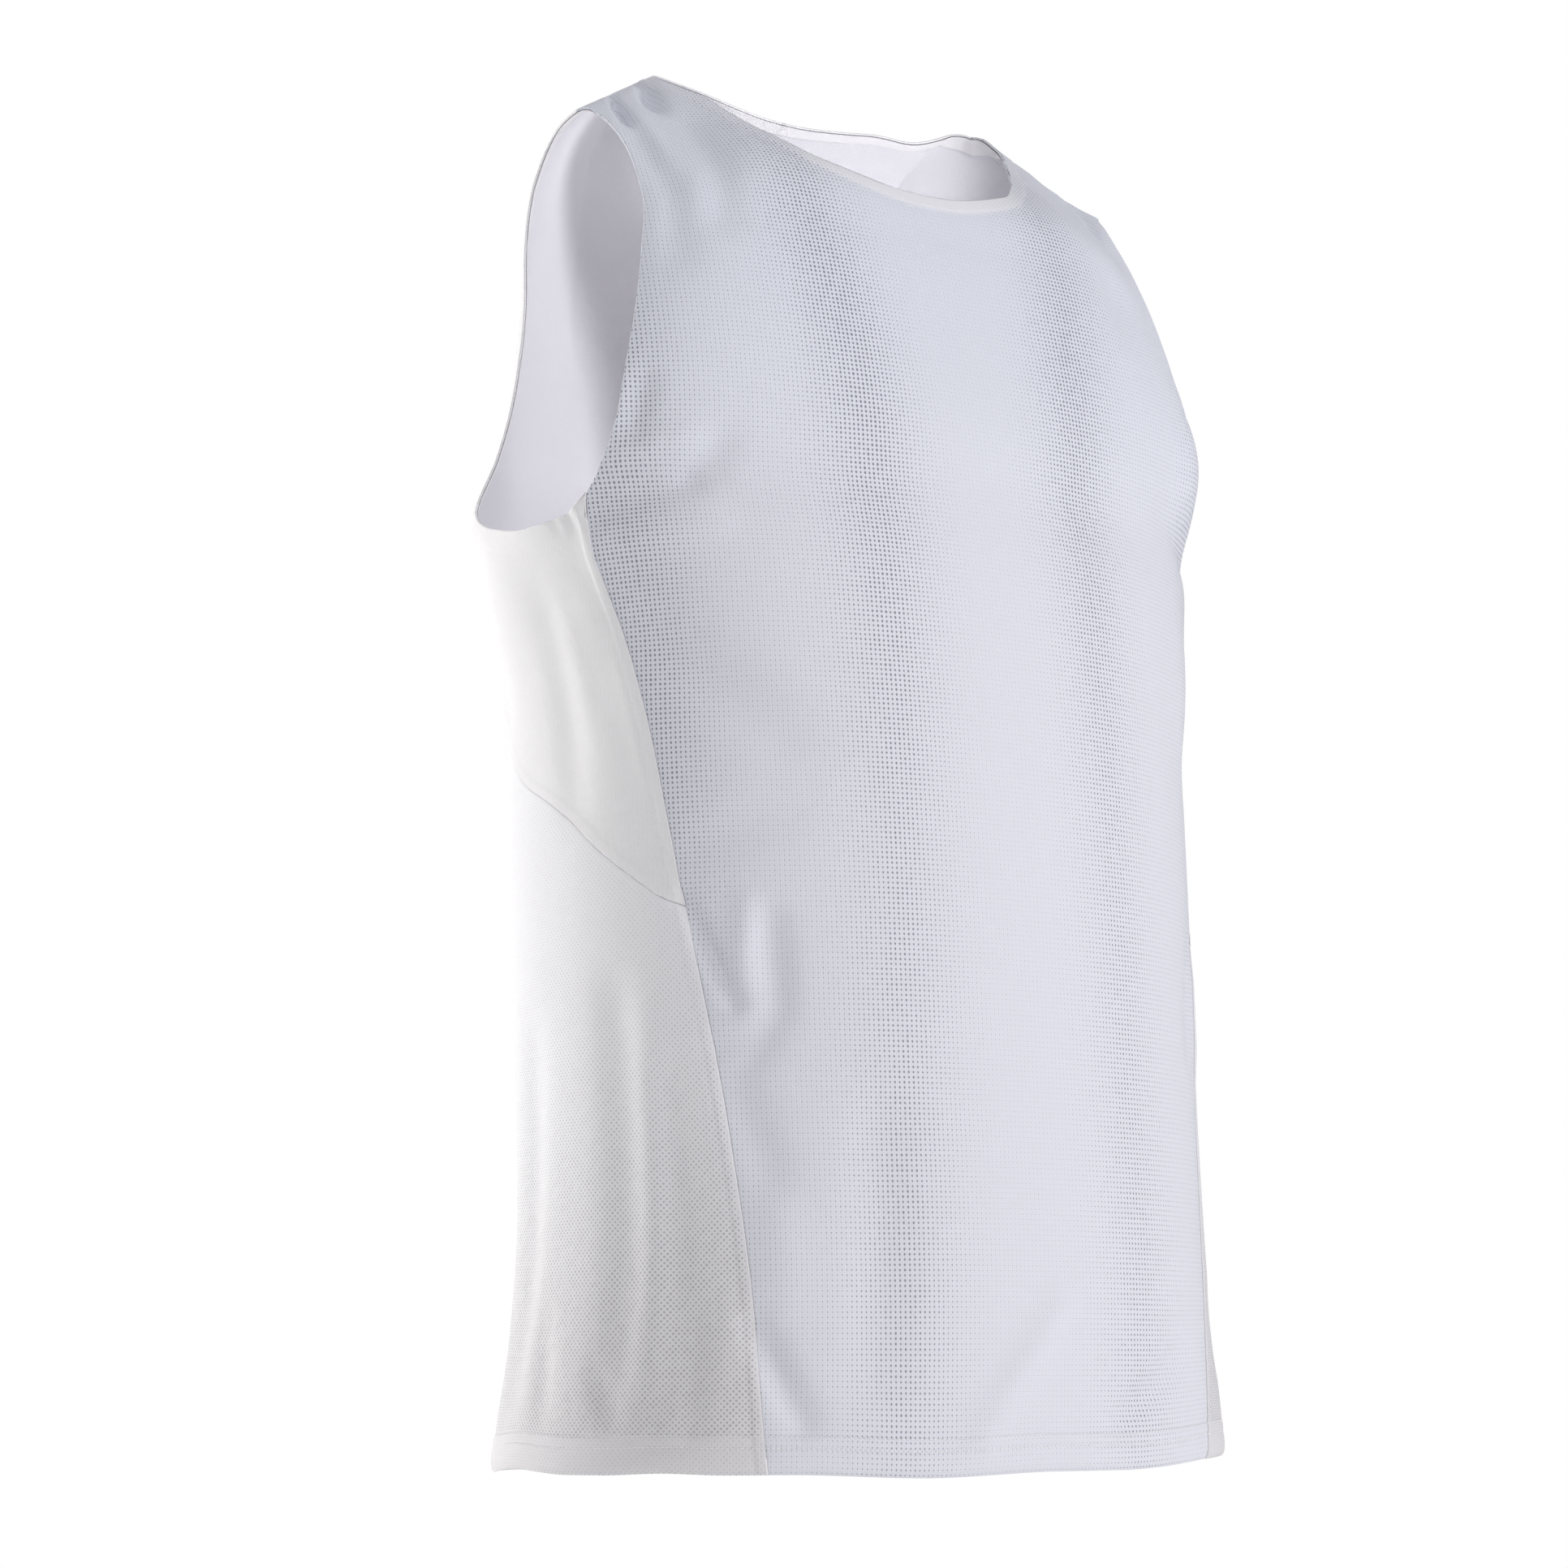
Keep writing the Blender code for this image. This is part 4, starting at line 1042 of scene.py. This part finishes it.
def back_mesh_panel(lower, material):
    places, quads = weld([lower])
    at = measures(places)
    lift = edges_lift(at) + allowance_lift(at)
    lift -= YOKE_DIP * band(at["yoke"], 0.0003, 0.002)
    thing, source = shell("back_mesh_cloth", places, quads, lift, walls(at))
    plain = np.maximum(band(at["side"], 0.0007, 0.0014), 0.5 * band(at["hem"], HEM_DEEP, 0.001))
    plain = np.maximum(plain, 0.6 * band(at["yoke"], 0.002, 0.002))
    store_grain(thing, places, source)
    fine = np.interp(at["drop"], (0.44, 0.52, 0.62), (0.45, 0.70, 0.95))
    store(thing, "open", ((1 - plain) * fine)[source])
    dress(thing, "back_mesh_panel", material)
    return thing


def strip(loop, width, count):
    """A closed band of places: a closed line, and count more rows away from it over the cloth."""
    rows = [loop]
    for _ in range(count):
        here = rows[-1]
        for _ in range(STRIP_STEPS):
            here = here + width / count / STRIP_STEPS * away_from(here)
        rows.append(here)
    return np.stack(rows)


def away_from(loop):
    """How far each co-ordinate goes for a metre over the cloth, away from the hole in a line."""
    points = body(*loop.T)
    ahead = np.roll(points, -1, axis=0) - np.roll(points, 1, axis=0)
    across, up = tangents(body, *loop.T)
    away = unit(np.cross(ahead, unit(np.cross(across, up))))
    aa, au, uu = ((p * q).sum(1) for p, q in ((across, across), (across, up), (up, up)))
    pa, pu = (across * away).sum(1), (up * away).sum(1)
    return np.column_stack([pa * uu - pu * au, pu * aa - pa * au]) / (aa * uu - au**2)[:, None]


def tape(name, node, loop, material):
    """A bonded tape inside an edge all round."""
    grid = strip(strip(loop, TAPE_BACK, 1)[-1], TAPE_WIDE, TAPE_ROWS)
    k, n = grid.shape[:2]
    ids = np.arange(k * n).reshape(k, n)
    after = np.roll(ids, -1, axis=1)
    quads = np.stack([ids[:-1], ids[1:], after[1:], after[:-1]], -1).reshape(-1, 4)
    places = grid.reshape(-1, 2)
    lift = np.full(len(places), -(FOLDED + TAPE_IN))
    thing, source = shell(name, places, quads, lift, np.full(len(places), TAPE))
    store_grain(thing, places, source)
    dress(thing, node, material)
    return thing


def evenly(*names):
    """Each of these edges in even steps."""
    return [spaced(SEAMS[n], round(lengths(SEAMS[n])[-1] / PITCH)) for n in names]


def neck_loop():
    """The neckline all round, from the centre front to the wearer's left."""
    left = joined(*evenly("neck", "back_neck"))
    return np.concatenate([left, mirrored(left)[-2:0:-1]])


def arm_loop():
    """The left armhole all round, with the cloth on its right."""
    front, back, under = evenly("arm", "back_arm", "under")
    return np.concatenate([under[:-1], back[:-1], front[::-1][:-1]])


# -------------------- stitches

STITCH_PITCH = 0.0023
STITCH_LONG = 0.0017
STITCH_THICK = 0.00028
STITCH_SIDES = 6
STITCH_RINGS = ((0.0, 0.25), (0.12, 0.8), (0.35, 1.0), (0.65, 1.0), (0.88, 0.8), (1.0, 0.25))


def stitches(name, angle_from, angle_to, material):
    """The two rows of the hem's coverstitch, each stitch a short bead of thread."""
    sections, faces = [], []
    for row in STITCH_ROWS:
        line = np.column_stack([np.linspace(angle_from, angle_to, 3000), np.full(3000, 0.0)])
        line[:, 1] = np.interp(row, LENGTHS[:, len(ANGLES) // 2, 1], HEIGHTS)
        run = lengths(line)
        starts = np.arange(STITCH_PITCH / 2, run[-1] - STITCH_PITCH, STITCH_PITCH)
        for share, thick in STITCH_RINGS:
            at = starts + share * STITCH_LONG
            angle = np.interp(at, run, line[:, 0])
            height = np.interp(at, run, line[:, 1])
            centre, normal = cloth(angle, height), outward(cloth, angle, height)
            ahead = unit(tangents(cloth, angle, height)[0])
            side = np.cross(normal, ahead)
            low = 0.00016 * (2 * share - 1) ** 2
            around = [
                centre + normal * (0.00016 - low) + STITCH_THICK * thick * (
                    math.cos(t) * normal * 0.8 + math.sin(t) * side
                )
                for t in np.arange(STITCH_SIDES) * 2 * math.pi / STITCH_SIDES
            ]
            sections.append(np.stack(around, 1))
    rings = len(STITCH_RINGS)
    points, start = [], 0
    for r in range(len(STITCH_ROWS)):
        block = np.stack(sections[r * rings:(r + 1) * rings], 1)
        count = len(block)
        points.append(block.reshape(-1, 3))
        ids = np.arange(block.size // 3).reshape(count, rings, STITCH_SIDES) + start
        start += block.size // 3
        after = np.roll(ids, -1, axis=2)
        quads = np.stack([ids[:, :-1], after[:, :-1], after[:, 1:], ids[:, 1:]], -1)
        faces.append(quads.reshape(-1, 4))
        caps = [ids[:, 0, ::-1], ids[:, -1]]
        faces += [c[:, half] for half in ((0, 1, 2, 3), (0, 3, 4, 5)) for c in caps]
    thing = mesh_object(name, np.concatenate(points), np.concatenate(faces)[:, ::-1])
    thing.data.materials.append(material)
    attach(thing, "root")
    return thing


# -------------------- studio


def light(name, kind, power, colour, place, aim, **settings):
    """A light that the camera doesn't see, at a place, towards an aim."""
    data = bpy.data.lights.new(name, kind)
    data.energy = power
    data.color = colour
    for key, value in settings.items():
        setattr(data, key, value)
    thing = bpy.data.objects.new(name, data)
    out = unit(np.array(place, float) - np.array(aim, float))
    right = unit(np.cross((0.0, 0.0, 1.0), out))
    thing.location = place
    thing.rotation_euler = Matrix(np.column_stack([right, np.cross(out, right), out])).to_euler()
    thing.visible_camera = False
    bpy.context.scene.collection.objects.link(thing)


def studio():
    """White all round, soft boxes, and two small lights in the garment that fill its inside."""
    world = bpy.data.worlds.new("studio")
    bpy.context.scene.world = world
    world.use_nodes = True
    tree = world.node_tree
    tree.nodes.clear()
    path = tree.nodes.new("ShaderNodeLightPath")
    mix = tree.nodes.new("ShaderNodeMixShader")
    out = tree.nodes.new("ShaderNodeOutputWorld")
    tree.links.new(path.outputs["Is Camera Ray"], mix.inputs[0])
    for socket, colour, strength in ((1, SKY_COLOUR, SKY), (2, (1, 1, 1, 1), 1.0)):
        glow = tree.nodes.new("ShaderNodeBackground")
        glow.inputs["Color"].default_value = colour
        glow.inputs["Strength"].default_value = strength
        tree.links.new(glow.outputs[0], mix.inputs[socket])
    tree.links.new(mix.outputs[0], out.inputs[0])

    turn = math.radians(CAMERA_TURN)
    axes = np.array([
        (-math.cos(turn), -math.sin(turn), 0), (math.sin(turn), -math.cos(turn), 0), (0, 0, 1),
    ])
    for box in (SoftBox(*row) for row in SOFT_BOXES):
        out = unit(np.array(box.towards) @ axes)
        light(
            box.name, "AREA", box.power, box.colour, np.array(MIDDLE) + out * BOX_AWAY, MIDDLE,
            shape="RECTANGLE", size=BOX_SIZE[0], size_y=BOX_SIZE[1],
        )
    for lamp in (Lamp(*row) for row in INSIDE_LAMPS):
        light(
            lamp.name, "SPOT", lamp.power, (1, 1, 1), lamp.place, lamp.aim,
            spot_size=math.radians(lamp.cone), spot_blend=lamp.blend, shadow_soft_size=LAMP_RADIUS,
        )

    bpy.ops.mesh.primitive_circle_add(
        vertices=96, radius=FLOOR_RADIUS, fill_type="NGON",
        location=(0, 0, float(CAD_BOX[0][2]) - FLOOR_BELOW_HEM),
    )
    floor = bpy.context.active_object
    floor.name = "floor"
    paint = Knit("floor_white")
    paint.settle(Base_Color=(0.9, 0.9, 0.9, 1), Roughness=0.9, Emission_Color=(1, 1, 1, 1))
    paint.settle(Emission_Strength=FLOOR_GLOW)
    floor.data.materials.append(paint.material)


def camera():
    data = bpy.data.cameras.new("camera")
    data.lens = LENS
    data.sensor_width = 36.0
    thing = bpy.data.objects.new("camera", data)
    turn = [
        Matrix.Rotation(math.radians(CAMERA_TURN), 4, "Z"),
        Matrix.Rotation(math.radians(90 + CAMERA_PITCH), 4, "X"),
        Matrix.Rotation(math.radians(CAMERA_ROLL), 4, "Z"),
    ]
    thing.matrix_world = Matrix.Translation(CAMERA_AT) @ turn[0] @ turn[1] @ turn[2]
    bpy.context.scene.collection.objects.link(thing)
    bpy.context.scene.camera = thing
    bpy.context.scene.view_settings.view_transform = "Standard"


camera()
studio()
TAPE_CLOTH = bonded_tape()
THREAD = sewing_thread()
MAIN, WING, LOWER = back_patches()
front_panel(front_patches(), eyelet_knit())
back_yoke(MAIN, WING, birdseye_knit())
back_mesh_panel(LOWER, staggered_knit())
tape("neck_tape_band", "neck_tape", neck_loop(), TAPE_CLOTH)
ARM = arm_loop()
tape("armhole_tape_left_band", "armhole_tape_left", ARM, TAPE_CLOTH)
tape("armhole_tape_right_band", "armhole_tape_right", mirrored(ARM)[::-1], TAPE_CLOTH)
stitches("hem_stitches", -180, 180, THREAD)
